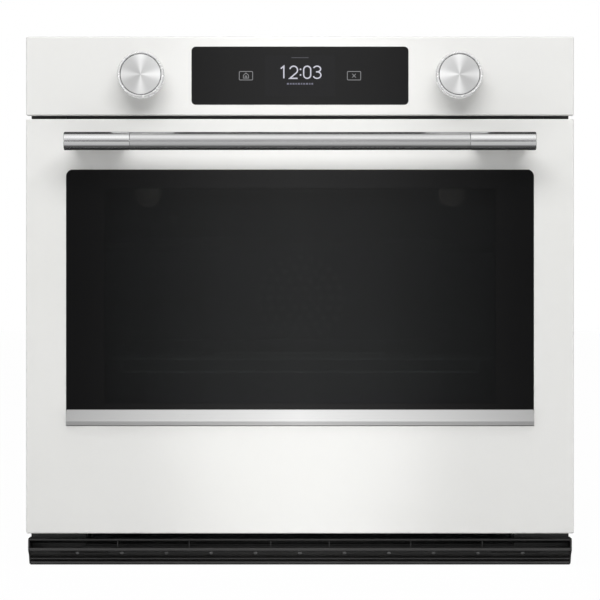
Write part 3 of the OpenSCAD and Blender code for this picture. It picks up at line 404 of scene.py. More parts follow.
def glowing(name, colour, strength, ground=(0.02, 0.02, 0.022)):
    """A lit mark on the display, with the screen's fine pixel grid in it."""
    s = Shader(name, IOR=1.5, Roughness=0.2, Emission_Strength=strength)
    grid = s.cells(2600, output="Distance")
    s.drive("Base Color", s.ramp(grid, (0.0, ground), (1.0, tuple(c * 1.3 for c in ground))))
    s.drive("Emission Color", s.ramp(grid, (0.0, tuple(c * 0.96 for c in colour)), (0.9, colour)))
    return s.material


# Half the length over which the sill's painted reflection falls off to its darker ends.
SILL_SHEEN_FALLOFF = 0.33
# The part of the window that isn't printed black behind.
CLEAR_X = (-0.274, 0.274)
CLEAR_Z = (0.226, 0.529)
LOOKS = {maker.__name__: maker() for maker in (
    white_enamel, black_paint, zinc_sheet, cavity_enamel, mineral_wool, woven_gasket, heater_sheath,
    motor_steel, clear_glass, circuit_board, lamp_glass)}
for maker, name, *values in (
        (pane_glass, "black_glass", (0.0035, 0.0035, 0.0037)),
        (brushed, "satin_aluminium", (0.74, 0.74, 0.735), (0.84, 0.84, 0.835), 0.30, 0.5, 3.0, 0.05),
        (brushed, "handle_steel", (0.60, 0.60, 0.605), (0.74, 0.74, 0.74), 0.24, 0.55, 3.0, 0.08),
        (brushed, "polished_steel", (0.72, 0.72, 0.725), (0.80, 0.80, 0.80), 0.15, 0.35, 2.0, 0.03),
        (plastic, "black_plastic", (0.010, 0.010, 0.011), (0.016, 0.016, 0.017), 0.5),
        (plastic, "pale_plastic", (0.62, 0.60, 0.52), (0.70, 0.68, 0.6), 0.45),
        (metal, "knob_aluminium", 0.86, 0.94, 0.24, 40, 0.45, 0.02),
        (metal, "spring_steel", (0.20, 0.205, 0.21), (0.32, 0.325, 0.33), 0.35),
        (metal, "rack_chrome", (0.55, 0.55, 0.56), (0.68, 0.68, 0.69), 0.18, 30),
        (metal, "fan_aluminium", (0.58, 0.58, 0.59), (0.70, 0.70, 0.71), 0.38, 30),
        (metal, "screw_steel", (0.50, 0.50, 0.51), (0.66, 0.66, 0.67), 0.30, 60)):
    LOOKS[name] = maker(name, *values)
WINDOW = pane_glass("window_glass", (0.0035, 0.0035, 0.0037), 0.66, (CLEAR_X, CLEAR_Z))
# The sill's colour carries a painted reflection: bright in the middle, darker towards its ends.
SILL_PAINTED_SHEEN = brushed("sill_metal", (0.86, 0.86, 0.855), (0.96, 0.96, 0.955), 0.30, 0.5, 3.0, 0.05,
                     ends=(0.46, 0.46, 0.458))
KNOB_FACE = {"left": spun("knob_face_left", 0.32, 1.0), "right": spun("knob_face_right", 0.32, -1.0)}
# Painted shade: the groove's floor is much darker than the knob's aluminium.
KNOB_GROOVE_SHADE = metal("knob_groove", (0.16, 0.16, 0.162), (0.22, 0.22, 0.222), 0.4, 60, 0.6)
CLIP_PAINT = plastic("clip_paint", 0.05, 0.07, 0.5)
SCREEN_PANEL = glowing("screen_panel", (0.0030, 0.0030, 0.0034), 1.0, (0.0035, 0.0035, 0.0038))
SCREEN_TEXT = glowing("screen_text", (0.66, 0.66, 0.75), 0.9)
SCREEN_FAINT = glowing("screen_faint", (0.15, 0.15, 0.20), 1.0)
SCREEN_BAR = glowing("screen_bar", (0.055, 0.055, 0.065), 1.0)
TOUCH_MARK = glowing("touch_mark", (0.23, 0.23, 0.235), 1.0)


# ---------- Shape helpers ----------

def finish_piece(obj, body, slot, look=None, replaces=(), sharp=32, weighted=True):
    """Gives a piece its material, shading and body."""
    mesh = obj.data
    mesh.materials.clear()
    mesh.materials.append(look or LOOKS[slot])
    for polygon in mesh.polygons:
        polygon.use_smooth = True
    mesh.set_sharp_from_angle(angle=math.radians(sharp))
    if weighted:
        normal = obj.modifiers.new("weighted_normal", "WEIGHTED_NORMAL")
        normal.keep_sharp = True
    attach(obj, body)
    if replaces:
        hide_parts(*replaces)
    return obj


def link(name, mesh, at=(0, 0, 0)):
    obj = bpy.data.objects.new(name, mesh)
    bpy.context.scene.collection.objects.link(obj)
    obj.location = at
    return obj


def from_bmesh(name, bm, at=(0, 0, 0)):
    bmesh.ops.recalc_face_normals(bm, faces=bm.faces)
    mesh = bpy.data.meshes.new(name)
    bm.to_mesh(mesh)
    bm.free()
    return link(name, mesh, at)


def applied(obj):
    """Bakes the object's modifiers, or its curve, into a new mesh object of the same name."""
    graph = bpy.context.evaluated_depsgraph_get()
    mesh = bpy.data.meshes.new_from_object(obj.evaluated_get(graph))
    name, matrix = obj.name, obj.matrix_world.copy()
    bpy.data.objects.remove(obj)
    new = link(name, mesh)
    new.matrix_world = matrix
    return new


def join(name, objects):
    """One mesh object out of several, keeping world places."""
    bpy.context.view_layer.update()
    bm = bmesh.new()
    for obj in objects:
        part = obj.data.copy()
        part.transform(obj.matrix_world)
        bm.from_mesh(part)
        bpy.data.meshes.remove(part)
        bpy.data.objects.remove(obj)
    return from_bmesh(name, bm)


def rounded_rect(lo, hi, radius, steps=8, corners=(1, 1, 1, 1)):
    """Points of a rectangle with round corners, from (x, z) lo to hi; corners start at the lower left."""
    (x0, z0), (x1, z1) = lo, hi
    centres = ((x0, z0, 180), (x1, z0, 270), (x1, z1, 0), (x0, z1, 90))
    points = []
    for (x, z, start), on in zip(centres, corners):
        r = radius if on else 0.0
        cx = x + (r if x == x0 else -r)
        cz = z + (r if z == z0 else -r)
        for i in range(steps + 1 if on else 1):
            a = math.radians(start + 90 * i / steps)
            points.append((cx + r * math.cos(a), cz + r * math.sin(a)))
    return points


def oval(cx, cz, rx, rz, start, end, steps=28):
    """Points of an oval's arc, by its centre, radii and angles."""
    turn = [math.radians(start + (end - start) * i / steps) for i in range(steps + 1)]
    return [(cx + rx * math.cos(a), cz + rz * math.sin(a)) for a in turn]


def plate(name, outlines, y0, y1, edge=0.0003, resolution=2):
    """A flat plate in the XZ plane with eased edges; outlines after the first are holes."""
    curve = bpy.data.curves.new(name, "CURVE")
    curve.dimensions = "2D"
    curve.fill_mode = "BOTH"
    curve.extrude = (y1 - y0) / 2 - edge
    curve.bevel_depth = edge
    curve.bevel_resolution = resolution
    curve.offset = -edge
    for outline in outlines:
        spline = curve.splines.new("POLY")
        spline.points.add(len(outline) - 1)
        for point, (x, z) in zip(spline.points, outline):
            point.co = (x, z, 0, 1)
        spline.use_cyclic_u = True
    obj = bpy.data.objects.new(name, curve)
    bpy.context.scene.collection.objects.link(obj)
    obj.rotation_euler = (math.pi / 2, 0, 0)
    obj.location = (0, (y0 + y1) / 2, 0)
    bpy.context.view_layer.update()
    new = applied(obj)
    new.data.transform(new.matrix_world)
    new.matrix_world = Matrix.Identity(4)
    bm = bmesh.new()
    bm.from_mesh(new.data)
    bmesh.ops.remove_doubles(bm, verts=bm.verts, dist=1e-6)
    bmesh.ops.recalc_face_normals(bm, faces=bm.faces)
    bm.to_mesh(new.data)
    bm.free()
    return new


def lathe(name, profile, axis="Y", at=(0, 0, 0), steps=128):
    """Turns (radius, along) points about an axis through at."""
    bm = bmesh.new()
    rings = []
    for radius, along in profile:
        if radius < 1e-7:
            rings.append([bm.verts.new((0, 0, along))])
            continue
        turn = [2 * math.pi * i / steps for i in range(steps)]
        rings.append([bm.verts.new((radius * math.cos(a), radius * math.sin(a), along)) for a in turn])
    for one, two in zip(rings, rings[1:]):
        for i in range(steps):
            j = (i + 1) % steps
            corners = [one[i % len(one)], one[j % len(one)], two[j % len(two)], two[i % len(two)]]
            unique = list(dict.fromkeys(corners))
            if len(unique) > 2:
                bm.faces.new(unique)
    turn = {"X": Matrix.Rotation(math.pi / 2, 4, "Y"), "Y": Matrix.Rotation(-math.pi / 2, 4, "X"),
            "Z": Matrix.Identity(4)}[axis]
    bm.transform(turn)
    return from_bmesh(name, bm, at)


def prism(name, profile, x0, x1, bevel=0.0, segments=2):
    """Extrudes a closed (y, z) outline along X."""
    bm = bmesh.new()
    ends = [[bm.verts.new((x, y, z)) for y, z in profile] for x in (x0, x1)]
    bm.faces.new(ends[0])
    bm.faces.new(list(reversed(ends[1])))
    for i in range(len(profile)):
        j = (i + 1) % len(profile)
        bm.faces.new((ends[0][i], ends[0][j], ends[1][j], ends[1][i]))
    obj = from_bmesh(name, bm)
    if bevel:
        modifier = obj.modifiers.new("bevel", "BEVEL")
        modifier.width = bevel
        modifier.segments = segments
        modifier.limit_method = "ANGLE"
        modifier.angle_limit = math.radians(30)
        bpy.context.view_layer.update()
        obj = applied(obj)
    return obj


def block(name, lo, hi, bevel=0.0004, segments=2):
    profile = [(lo[1], lo[2]), (hi[1], lo[2]), (hi[1], hi[2]), (lo[1], hi[2])]
    return prism(name, profile, lo[0], hi[0], bevel, segments)


def tube(name, points, radius, closed=False, resolution=6):
    """Round bar along a line of points."""
    curve = bpy.data.curves.new(name, "CURVE")
    curve.dimensions = "3D"
    curve.bevel_depth = radius
    curve.bevel_resolution = resolution
    curve.use_fill_caps = True
    spline = curve.splines.new("POLY")
    spline.points.add(len(points) - 1)
    for point, place in zip(spline.points, points):
        point.co = tuple(place) + (1,)
    spline.use_cyclic_u = closed
    obj = bpy.data.objects.new(name, curve)
    bpy.context.scene.collection.objects.link(obj)
    bpy.context.view_layer.update()
    return applied(obj)


def eased(points, radius, steps=4):
    """An open line of (a, b) points with each inner corner rounded off."""
    out = [points[0]]
    for before, corner, after in zip(points, points[1:], points[2:]):
        p, c, n = Vector(before), Vector(corner), Vector(after)
        cut = min(radius, (p - c).length / 2.2, (n - c).length / 2.2)
        start, end = c + (p - c).normalized() * cut, c + (n - c).normalized() * cut
        for i in range(steps + 1):
            t = i / steps
            point = start * (1 - t) ** 2 + c * 2 * t * (1 - t) + end * t * t
            out.append((point.x, point.y))
    out.append(points[-1])
    return out


def ribbon(points, thickness):
    """The closed outline of a bent sheet that follows a line of (a, b) points."""
    sides = []
    for one, two in zip(points, points[1:]):
        d = (Vector(two) - Vector(one)).normalized()
        sides.append(Vector((-d.y, d.x)))
    miters = [sides[0]] + [(a + b) / (1 + a.dot(b)) for a, b in zip(sides, sides[1:])] + [sides[-1]]
    half = thickness / 2
    left = [tuple(Vector(p) + m * half) for p, m in zip(points, miters)]
    right = [tuple(Vector(p) - m * half) for p, m in zip(points, miters)]
    return left + right[::-1]


def subtract(obj, cutters):
    """Cuts each cutter out of the object and removes it."""
    for cutter in cutters:
        modifier = obj.modifiers.new("cut", "BOOLEAN")
        modifier.object = cutter
        modifier.solver = "EXACT"
    bpy.context.view_layer.update()
    obj = applied(obj)
    for cutter in cutters:
        bpy.data.objects.remove(cutter)
    return obj


def ease_edges(obj, width, segments=2, angle=40):
    modifier = obj.modifiers.new("bevel", "BEVEL")
    modifier.width = width
    modifier.segments = segments
    modifier.limit_method = "ANGLE"
    modifier.angle_limit = math.radians(angle)
    modifier.harden_normals = False
    bpy.context.view_layer.update()
    return applied(obj)


def pressed_pan(name, lo, hi, radius, cutters):
    """A sheet-steel pan, open at the back, with rounded front edges and the cutters' holes."""
    bm = bmesh.new()
    bmesh.ops.create_cube(bm, size=1.0)
    size, middle = Vector(hi) - Vector(lo), (Vector(hi) + Vector(lo)) / 2
    bmesh.ops.scale(bm, vec=size, verts=bm.verts)
    bmesh.ops.translate(bm, vec=middle, verts=bm.verts)
    back = [f for f in bm.faces if all(abs(v.co.y - hi[1]) < 1e-6 for v in f.verts)]
    bmesh.ops.delete(bm, geom=back, context="FACES_ONLY")
    edges = [e for e in bm.edges if not all(abs(v.co.y - hi[1]) < 1e-6 for v in e.verts)]
    bmesh.ops.bevel(bm, geom=edges, offset=radius, segments=5, profile=0.5, affect="EDGES")
    obj = from_bmesh(name, bm)
    shell = obj.modifiers.new("sheet", "SOLIDIFY")
    shell.thickness = SHEET
    shell.offset = -1
    bpy.context.view_layer.update()
    obj = applied(obj)
    obj = subtract(obj, cutters)
    return ease_edges(obj, 0.00035)


def both(piece):
    """Adds the piece's mirror image on the other side of the oven."""
    bpy.context.view_layer.update()
    twin = link(piece.name + "_twin", piece.data.copy())
    twin.data.transform(Matrix.Scale(-1, 4, (1, 0, 0)) @ piece.matrix_world)
    twin.data.flip_normals()
    return join(piece.name, [piece, twin])


# ---------- Door ----------

def window_outline(grow=0.0):
    radius = 0.009 + grow
    lo = (GLASS_LO.x - grow, GLASS_LO.z - grow)
    hi = (GLASS_HI.x + grow, GLASS_HI.z + grow)
    return rounded_rect(lo, hi, radius, 8, (0, 0, 1, 1))


def door_shell():
    cutters = [plate("cut_window", [window_outline(0.0005)], Y_FACE - 0.01, Y_FACE + 0.01, 0.00001)]
    wide, deep = SKIN_HI.x + 0.01, SKIN_HI.y + 0.01
    cutters.append(block("cut_toe", (-wide, Y_FACE + 0.025, SKIN_LO.z - 0.01),
                         (wide, deep, SKIN_LO.z + 0.012), 0))
    for side in (-1, 1):
        x = side * HINGE_X
        cutters.append(block("cut_arm", (x - 0.008, Y_FACE + 0.008, SKIN_LO.z - 0.01),
                             (x + 0.008, deep, SKIN_LO.z + 0.004), 0))
    skin = pressed_pan("door_shell", SKIN_LO, SKIN_HI, 0.0020, cutters)
    finish_piece(skin, "door", "white_enamel", replaces=["door_skin"])
    skin.visible_glossy = False
    # The folded lip around the back of the shell.
    lip = plate("door_shell_lip", [
        rounded_rect((SKIN_LO.x + 0.001, SKIN_LO.z + 0.060), (SKIN_HI.x - 0.001, SKIN_HI.z - 0.001), 0.002),
        rounded_rect((-0.354, SKIN_LO.z + 0.061), (0.354, SKIN_HI.z - 0.014), 0.004)],
        SKIN_HI.y - SHEET, SKIN_HI.y, 0.0003)
    finish_piece(lip, "door", "white_enamel")


def door_window():
    pane = plate("window_pane", [window_outline()], GLASS_LO.y, GLASS_HI.y, 0.0005, 3)
    finish_piece(pane, "door", "black_glass", WINDOW, ["outer_glass"])


def sill():
    y0, tip = SILL_HI.y, SILL_LO.y
    lo, hi = SILL_LO.z, SILL_HI.z
    line = [(y0, hi), (y0 - 0.0009, hi - 0.0002), (tip + 0.0004, lo + 0.0074), (tip, lo + 0.0064),
            (tip, lo + 0.0014), (tip + 0.0011, lo), (y0, lo)]
    bar = prism("sill_bar", eased(line, 0.0009, 4), SILL_LO.x, SILL_HI.x, 0.00025, 2)
    finish_piece(bar, "door", "satin_aluminium", SILL_PAINTED_SHEEN, ["sill_trim"], sharp=40)
    bar.visible_shadow = False


SLEEVE_LENGTH = 90.5 * MM
POST_LENGTH = 71 * MM


def handle():
    centre = (BAR_LO + BAR_HI) / 2
    radius = (BAR_HI.z - BAR_LO.z) / 2
    sleeve_r = (SLEEVE_HI.z - SLEEVE_LO.z) / 2
    half = SLEEVE_HI.x - SLEEVE_LENGTH
    at = (0, centre.y, centre.z)
    bar = lathe("handle_middle", [(radius - 0.0006, -half), (radius, -half + 0.0008), (radius, half - 0.0008),
                                  (radius - 0.0006, half)], "X", at, 128)
    finish_piece(bar, "door", "handle_steel", replaces=["handle_bar"], weighted=False)
    end, ease = SLEEVE_HI.x, 0.0009
    soft = oval(sleeve_r - ease, end - ease, ease, ease, 0, 90, 6)
    inner = [(radius - 0.0012, half + 0.0001), (sleeve_r - 0.0004, half + 0.0001), (sleeve_r, half + 0.0005)]
    sleeve = lathe("handle_end", inner + soft + [(0, end)], "X", at, 128)
    sleeve = both(sleeve)
    finish_piece(sleeve, "door", "polished_steel", replaces=["handle_sleeves"])
    joint = lathe("handle_joint", [(radius - 0.0009, -0.0004), (radius - 0.0009, 0.0006)], "X",
                  (half, centre.y, centre.z), 96)
    finish_piece(both(joint), "door", "black_plastic", weighted=False)


def handle_feet():
    """The two posts, waisted between the bar and the door."""
    mid = (POST_LO.z + POST_HI.z) / 2
    centre = (SLEEVE_LO + SLEEVE_HI) / 2
    x0, x1 = POST_HI.x - POST_LENGTH, POST_HI.x
    line = [(Y_FACE, mid - 0.0085), (Y_FACE - 0.004, mid - 0.0083), (Y_FACE - 0.009, mid - 0.0068),
            (centre.y + 0.008, mid - 0.0068), (centre.y, mid - 0.0068)]
    profile = eased(line, 0.003, 4)
    profile = profile + [(y, 2 * mid - z) for y, z in reversed(profile)]
    post = prism("handle_post", profile, x0, x1, 0.0012, 3)
    finish_piece(both(post), "door", "satin_aluminium", replaces=["handle_posts"])


def door_inside():
    """Screws of the liner, seen when the door is open."""
    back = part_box("door_fasteners")[1].y
    heads = []
    for side in (-1, 1):
        for z in (0.120, 0.240, 0.360, 0.480, 0.590):
            heads.append(screw_head("liner_screw", (side * 0.348, back - 0.0012, z), 0.0036, 0.0012, 1))
        for x in (0.258, 0.299):
            at = (side * x, Y_FACE + SHEET, (POST_LO.z + POST_HI.z) / 2)
            heads.append(screw_head("post_screw", at, 0.005, 0.003, 1))
    finish_piece(join("door_screws", heads), "door", "screw_steel", replaces=["door_fasteners"])


def screw_head(name, at, radius, height, facing):
    """A domed screw head with a cross recess. It stands on y = at.y and points along facing * Y."""
    dome = oval(0, height * 0.35, radius, height * 0.65, 0, 75, 5)
    head = lathe(name, [(radius, 0)] + dome + [(0, height)], "Y", at, 40)
    arm, depth = radius * 0.55, height * 0.45
    cutters = []
    for wide, tall in ((arm, arm * 0.2), (arm * 0.2, arm)):
        cutters.append(block("cross", (at[0] - wide, at[1] + height - depth, at[2] - tall),
                             (at[0] + wide, at[1] + height + 0.001, at[2] + tall), 0))
    head = subtract(head, cutters)
    if facing < 0:
        flip = Matrix.Translation(at) @ Matrix.Scale(-1, 4, (0, 1, 0)) @ Matrix.Translation(-Vector(at))
        head.data.transform(head.matrix_world)
        head.matrix_world = Matrix.Identity(4)
        head.data.transform(flip)
        head.data.flip_normals()
    return head


# ---------- Control panel ----------

def control_panel():
    cutters = [plate("cut_screen", [rounded_rect((SCREEN_LO.x - 0.0004, SCREEN_LO.z - 0.0004),
                                                 (SCREEN_HI.x + 0.0004, SCREEN_HI.z + 0.0004), 0.006)],
                     Y_FACE - 0.01, Y_FACE + 0.01, 0.00001)]
    for side in ("left", "right"):
        lo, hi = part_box(f"{side}_knob")
        at = ((lo.x + hi.x) / 2, Y_FACE - 0.01, (lo.z + hi.z) / 2)
        cutters.append(lathe("cut_shaft", [(0, 0), (0.008, 0), (0.008, 0.02), (0, 0.02)], "Y", at, 48))
    shell = pressed_pan("panel_shell", PANEL_LO, PANEL_HI, 0.0020, cutters)
    finish_piece(shell, "chassis", "white_enamel", replaces=["control_fascia"])
    shell.visible_glossy = False
    outline = rounded_rect((SCREEN_LO.x, SCREEN_LO.z), (SCREEN_HI.x, SCREEN_HI.z), 0.0056)
    pane = plate("screen_pane", [outline], SCREEN_LO.y, SCREEN_HI.y, 0.0005, 3)
    finish_piece(pane, "chassis", "black_glass", replaces=["display_glass"])


PRINT_Y = SCREEN_LO.y - 0.00004
SCREEN_Z = (SCREEN_LO.z + SCREEN_HI.z) / 2


def marks(name, outlines, look, lift=0.0):
    """Flat printed or lit marks on the screen's front, one closed outline each."""
    bm = bmesh.new()
    for outline in outlines:
        y = PRINT_Y - lift
        front = [bm.verts.new((x, y, z)) for x, z in outline]
        back = [bm.verts.new((x, y + 0.00005, z)) for x, z in outline]
        bm.faces.new(front)
        bm.faces.new(list(reversed(back)))
        for i in range(len(outline)):
            j = (i + 1) % len(outline)
            bm.faces.new((front[i], back[i], back[j], front[j]))
    obj = from_bmesh(name, bm)
    finish_piece(obj, "chassis", "black_glass", look, weighted=False)


def digit_line(figure, h, w):
    """Centre lines of one figure, drawn from its lower left corner."""
    r = w / 2
    if figure == "0":
        return [oval(r, h - r, r, r, 0, 180) + oval(r, r, r, r, 180, 360) + [(w, h - r)]]
    if figure == "1":
        return [[(w * 0.12, h * 0.80), (w * 0.55, h), (w * 0.55, 0)]]
    if figure == "2":
        return [oval(r, h - r, r, r, 165, -38) + [(0.02 * w, 0), (w, 0)]]
    lower, upper = h * 0.268, h * 0.232
    return [oval(r, h - upper, r * 0.93, upper, 160, -82) + [(w * 0.36, h * 0.535)],
            [(w * 0.36, h * 0.535), (w * 0.5, h * 0.535)] + oval(r, lower, r, lower, 86, -160)]


def clock_face():
    height, pen = 0.0169, 0.0018
    low = SCREEN_Z + 0.0048 - height / 2
    outlines = []
    places = (("1", -0.0279, 0.0098), ("2", -0.0142, 0.0108), ("0", 0.0051, 0.0098), ("3", 0.0183, 0.0108))
    for figure, left, width in places:
        for line in digit_line(figure, height, width):
            outlines.append(ribbon([(x + left, z + low) for x, z in line], pen))
    for z in (low + height * 0.28, low + height * 0.74):
        outlines.append(oval(0.0007, z, 0.0012, 0.0012, 0, 345, 23))
    marks("clock_digits", outlines, SCREEN_TEXT, 0.00004)


def small_words():
    """Plain blocks in place of the date line."""
    z, height = SCREEN_Z - 0.0124, 0.0023
    widths = (0.0030, 0.0022, 0.0026, 0.0018, 0.0028, 0.0020, 0.0024, 0.0030, 0.0018, 0.0024)
    gap = 0.0014
    x = -(sum(widths) + gap * (len(widths) - 1)) / 2
    outlines = []
    for width in widths:
        outlines.append([(x, z), (x + width, z), (x + width, z + height), (x, z + height)])
        x += width + gap
    marks("date_blocks", outlines, SCREEN_FAINT, 0.00004)


def touch_symbols():
    """An outlined key with a house on the left, and one with a cross on the right."""
    outlines = []
    pen = 0.0009
    for side in (-1, 1):
        cx = side * 0.0752
        key = rounded_rect((cx - 0.0093, SCREEN_Z - 0.0059), (cx + 0.0093, SCREEN_Z + 0.0059), 0.0012, 5)
        outlines.append(ribbon(key + [key[0], key[1]], pen))
    cx = -0.0752
    house = [(-0.0036, -0.0034), (-0.0036, 0.0006), (0, 0.0038), (0.0036, 0.0006), (0.0036, -0.0034),
             (-0.0036, -0.0034), (-0.0036, -0.0026)]
    outlines.append(ribbon([(cx + x, SCREEN_Z + z) for x, z in house], pen))
    door = [(-0.0011, -0.0034), (-0.0011, -0.0004), (0.0011, -0.0004), (0.0011, -0.0034)]
    outlines.append(ribbon([(cx + x, SCREEN_Z + z) for x, z in door], pen))
    reach, half = 0.0036, 0.00045
    arms = [(reach, half), (half, half), (half, reach), (-half, reach), (-half, half), (-reach, half)]
    arms += [(-x, -z) for x, z in arms]
    turn = math.radians(45)
    outlines.append([(0.0752 + x * math.cos(turn) - z * math.sin(turn),
                      SCREEN_Z + x * math.sin(turn) + z * math.cos(turn)) for x, z in arms])
    marks("touch_symbols", outlines, TOUCH_MARK)


def screen_marks():
    marks("screen_panel", [rounded_rect((-0.049, SCREEN_Z - 0.0285), (0.049, SCREEN_Z + 0.0285), 0.001, 3)],
          SCREEN_PANEL)
    bar = rounded_rect((-0.012, SCREEN_Z + 0.0246), (0.012, SCREEN_Z + 0.0256), 0.0004, 3)
    marks("screen_bar", [bar], SCREEN_BAR, 0.00004)
    clock_face()
    small_words()
    touch_symbols()


RIM_WIDTH = 3.1 * MM
GROOVE_WIDTH = 1.3 * MM
KNOB_DEPTH = 26 * MM


def knob(side):
    """A turned knob: a skirt, a bright rim, a groove with painted shade on its floor and a spun face with
    painted sheen.
    """
    lo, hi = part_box(f"{side}_knob")
    front, radius = lo.y, (hi.z - lo.z) / 2
    depth = KNOB_DEPTH
    at = ((lo.x + hi.x) / 2, front, (lo.z + hi.z) / 2)
    body = f"{side}_knob"
    ease = 0.0016
    rim_out = oval(radius - ease, ease, ease, -ease, 0, 90, 6)
    skirt = [(0.0032, depth - 0.010), (0.0092, depth - 0.010), (0.0095, depth - 0.006),
             (0.0102, depth - 0.0004), (0.0106, depth), (radius - 0.0016, depth),
             (radius - 0.0006, depth - 0.0006), (radius - 0.0004, depth - 0.003), (radius, depth - 0.0042),
             (radius, ease)]
    inner = radius - RIM_WIDTH
    rim_in = [(inner + 0.0006, 0.0000), (inner + 0.0001, 0.0004), (inner, 0.0022), (inner - 0.0006, 0.0026)]
    shell = lathe(f"{body}_shell", skirt + rim_out[1:] + rim_in, "Y", at, 160)
    finish_piece(shell, body, "knob_aluminium", replaces=[f"{side}_knob"])
    disc = inner - GROOVE_WIDTH
    # The groove's floor carries painted shade.
    groove = lathe(f"{body}_groove", [(inner - 0.0002, 0.0024), (disc - 0.0004, 0.0024)], "Y", at, 128)
    finish_piece(groove, body, "knob_aluminium", KNOB_GROOVE_SHADE, weighted=False)
    dish = [(disc - 0.0001, 0.0024), (disc, 0.0012), (disc - 0.0003, 0.0008), (disc - 0.0009, 0.0006),
            (disc * 0.5, 0.0003), (0.00002, 0.0001), (0, 0.0001)]
    face = lathe(f"{body}_face", dish, "Y", at, 160)
    finish_piece(face, body, "knob_aluminium", KNOB_FACE[side], weighted=False)
    end = hi.y - front
    pin = [(0, depth - 0.002), (0.003, depth - 0.002), (0.003, end - 0.0004), (0.0026, end), (0, end)]
    shaft = lathe(f"{body}_shaft", pin, "Y", at, 48)
    finish_piece(shaft, body, "screw_steel")
    # What the skirt reflects of the enamel behind it.
    reach = radius + 0.012
    glow_card(f"{side}_knob_halo", [(at[0] + a * reach, Y_FACE + 0.0003, at[2] + b * reach)
                                    for a, b in ((-1, -1), (1, -1), (1, 1), (-1, 1))], 0.85)


# ---------- Vent ----------

VENT_Y = VENT_LO.y
WALL_Y = VENT_HI.y


def bent_sheet(name, line, x0, x1, ease=0.0011, thickness=0.0012):
    points = eased([(VENT_Y + y * MM, z * MM) for y, z in line], ease, 4)
    return prism(name, ribbon(points, thickness), x0, x1)


def vent():
    cap = 0.002
    x = VENT_HI.x - cap
    lower = [(4.4, 20.4), (1.4, 21.0), (0.7, 22.2), (0.8, 24.0), (2.0, 24.9), (4.2, 24.5), (7.0, 22.8),
             (12.5, 15.6), (14.0, 14.2), (19.0, 13.6), (19.0, 11.4), (13.4, 10.8), (12.2, 9.8), (12.8, 8.6),
             (19.0, 7.4), (19.0, 6.2), (12.4, 5.5), (11.2, 4.2), (11.8, 2.4), (15.0, 1.3), (34.0, 1.3),
             (34.0, 25.2)]
    trim = bent_sheet("vent_lower", lower, -x, x)
    # Slits beside the outer rivets.
    cutters = []
    for side in (-1, 1):
        cutters.append(block("cut_slit", (side * 0.301 - 0.034, VENT_Y + 0.002, 0.0181),
                             (side * 0.301 + 0.034, VENT_Y + 0.0135, 0.0199), 0))
    trim = subtract(trim, cutters)
    finish_piece(trim, "chassis", "black_paint", replaces=["vent_trim"], sharp=50, weighted=False)
    blade = [(3.4, 35.6), (1.6, 35.8), (1.1, 36.9), (2.2, 37.6), (26, 37.3), (31, 34), (33, 30)]
    upper = bent_sheet("vent_upper", blade, -x, x)
    finish_piece(upper, "chassis", "black_paint", replaces=["vent_louver"], sharp=50, weighted=False)
    webs = []
    for side in (-1, 1):
        for place in (0.041, 0.155, 0.255):
            webs.append(block("web", (side * place - 0.0008, VENT_Y + 0.0098, 0.0200),
                              (side * place + 0.0008, VENT_Y + 0.0182, 0.0366), 0.0003))
        webs.append(block("blank", (side * 0.3400 - 0.0382, WALL_Y - 0.0024, 0.011),
                          (side * 0.3400 + 0.0382, WALL_Y - 0.0012, 0.0455), 0.0002))
        outline = [(0, 36), (3, 38.4), (37.5, 38.4), (37.5, 1), (22, 1), (17, 5), (12, 14), (0, 22)]
        profile = eased([(VENT_Y + y * MM, z * MM) for y, z in outline + outline[:1]], 0.0012, 3)
        webs.append(prism("cap", profile[:-1], side * x, side * (x + cap), 0.0003))
    finish_piece(join("vent_webs", webs), "chassis", "black_paint")


def rivets():
    """Domed rivets square to the vent's slope."""
    heads = []
    count, pitch = 11, 0.0623
    tilt = Matrix.Rotation(math.radians(37.4), 4, "X")
    for i in range(count):
        dome = oval(0, 0, 0.0028, -0.0015, 0, 75, 5)
        head = lathe("rivet", dome + [(0, -0.0015)], "Y", (0, 0, 0), 24)
        place = ((i - (count - 1) / 2) * pitch, VENT_Y + 0.0103, 0.01747)
        head.data.transform(Matrix.Translation(place) @ tilt)
        heads.append(head)
    finish_piece(join("vent_rivets", heads), "chassis", "black_paint",
                 metal("rivet_paint", 0.13, 0.17, 0.34, 60, 0.3))


def chassis_screws():
    """Screws of the back panel and the frame, and the clips in the gap over the door."""
    back_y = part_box("back_panel")[1].y
    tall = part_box("chassis_fasteners")[1].y - back_y
    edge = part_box("right_side_panel")[1].x - 0.0089
    heads = [screw_head("back_screw", (side * edge, back_y, z), 0.0045, tall, 1)
             for side in (-1, 1) for z in (0.045, 0.210, 0.375, 0.540, 0.690)]
    heads += [screw_head("back_screw", (x, back_y, z), 0.0045, tall, 1)
              for x in (-0.23, 0, 0.23) for z in (0.036, 0.698)]
    frame_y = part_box("front_frame")[0].y
    heads += [screw_head("frame_screw", (side * 0.350, frame_y, z), 0.004, 0.0013, -1)
              for side in (-1, 1) for z in (0.130, 0.250, 0.370, 0.490, 0.610)]
    finish_piece(join("chassis_screws", heads), "chassis", "screw_steel", replaces=["chassis_fasteners"])
    clips = []
    for side in (-1, 1):
        x = side * 0.336
        clips.append(block("clip", (x - 0.007, frame_y - 0.005, PANEL_LO.z - 0.008),
                           (x + 0.007, frame_y, PANEL_LO.z + 0.002), 0.0006))
    finish_piece(join("gap_clips", clips), "chassis", "black_plastic", CLIP_PAINT)
    toe = [screw_head("toe_screw", (side * 0.3555, WALL_Y + 0.0065, 0.0437), 0.0032, 0.0012, -1)
           for side in (-1, 1)]
    finish_piece(join("toe_screws", toe), "chassis", "screw_steel", CLIP_PAINT)


# ---------- Body and cavity ----------

# How deep a bead's foot is sunk in its sheet.
BEAD_ROOT = 0.1 * MM


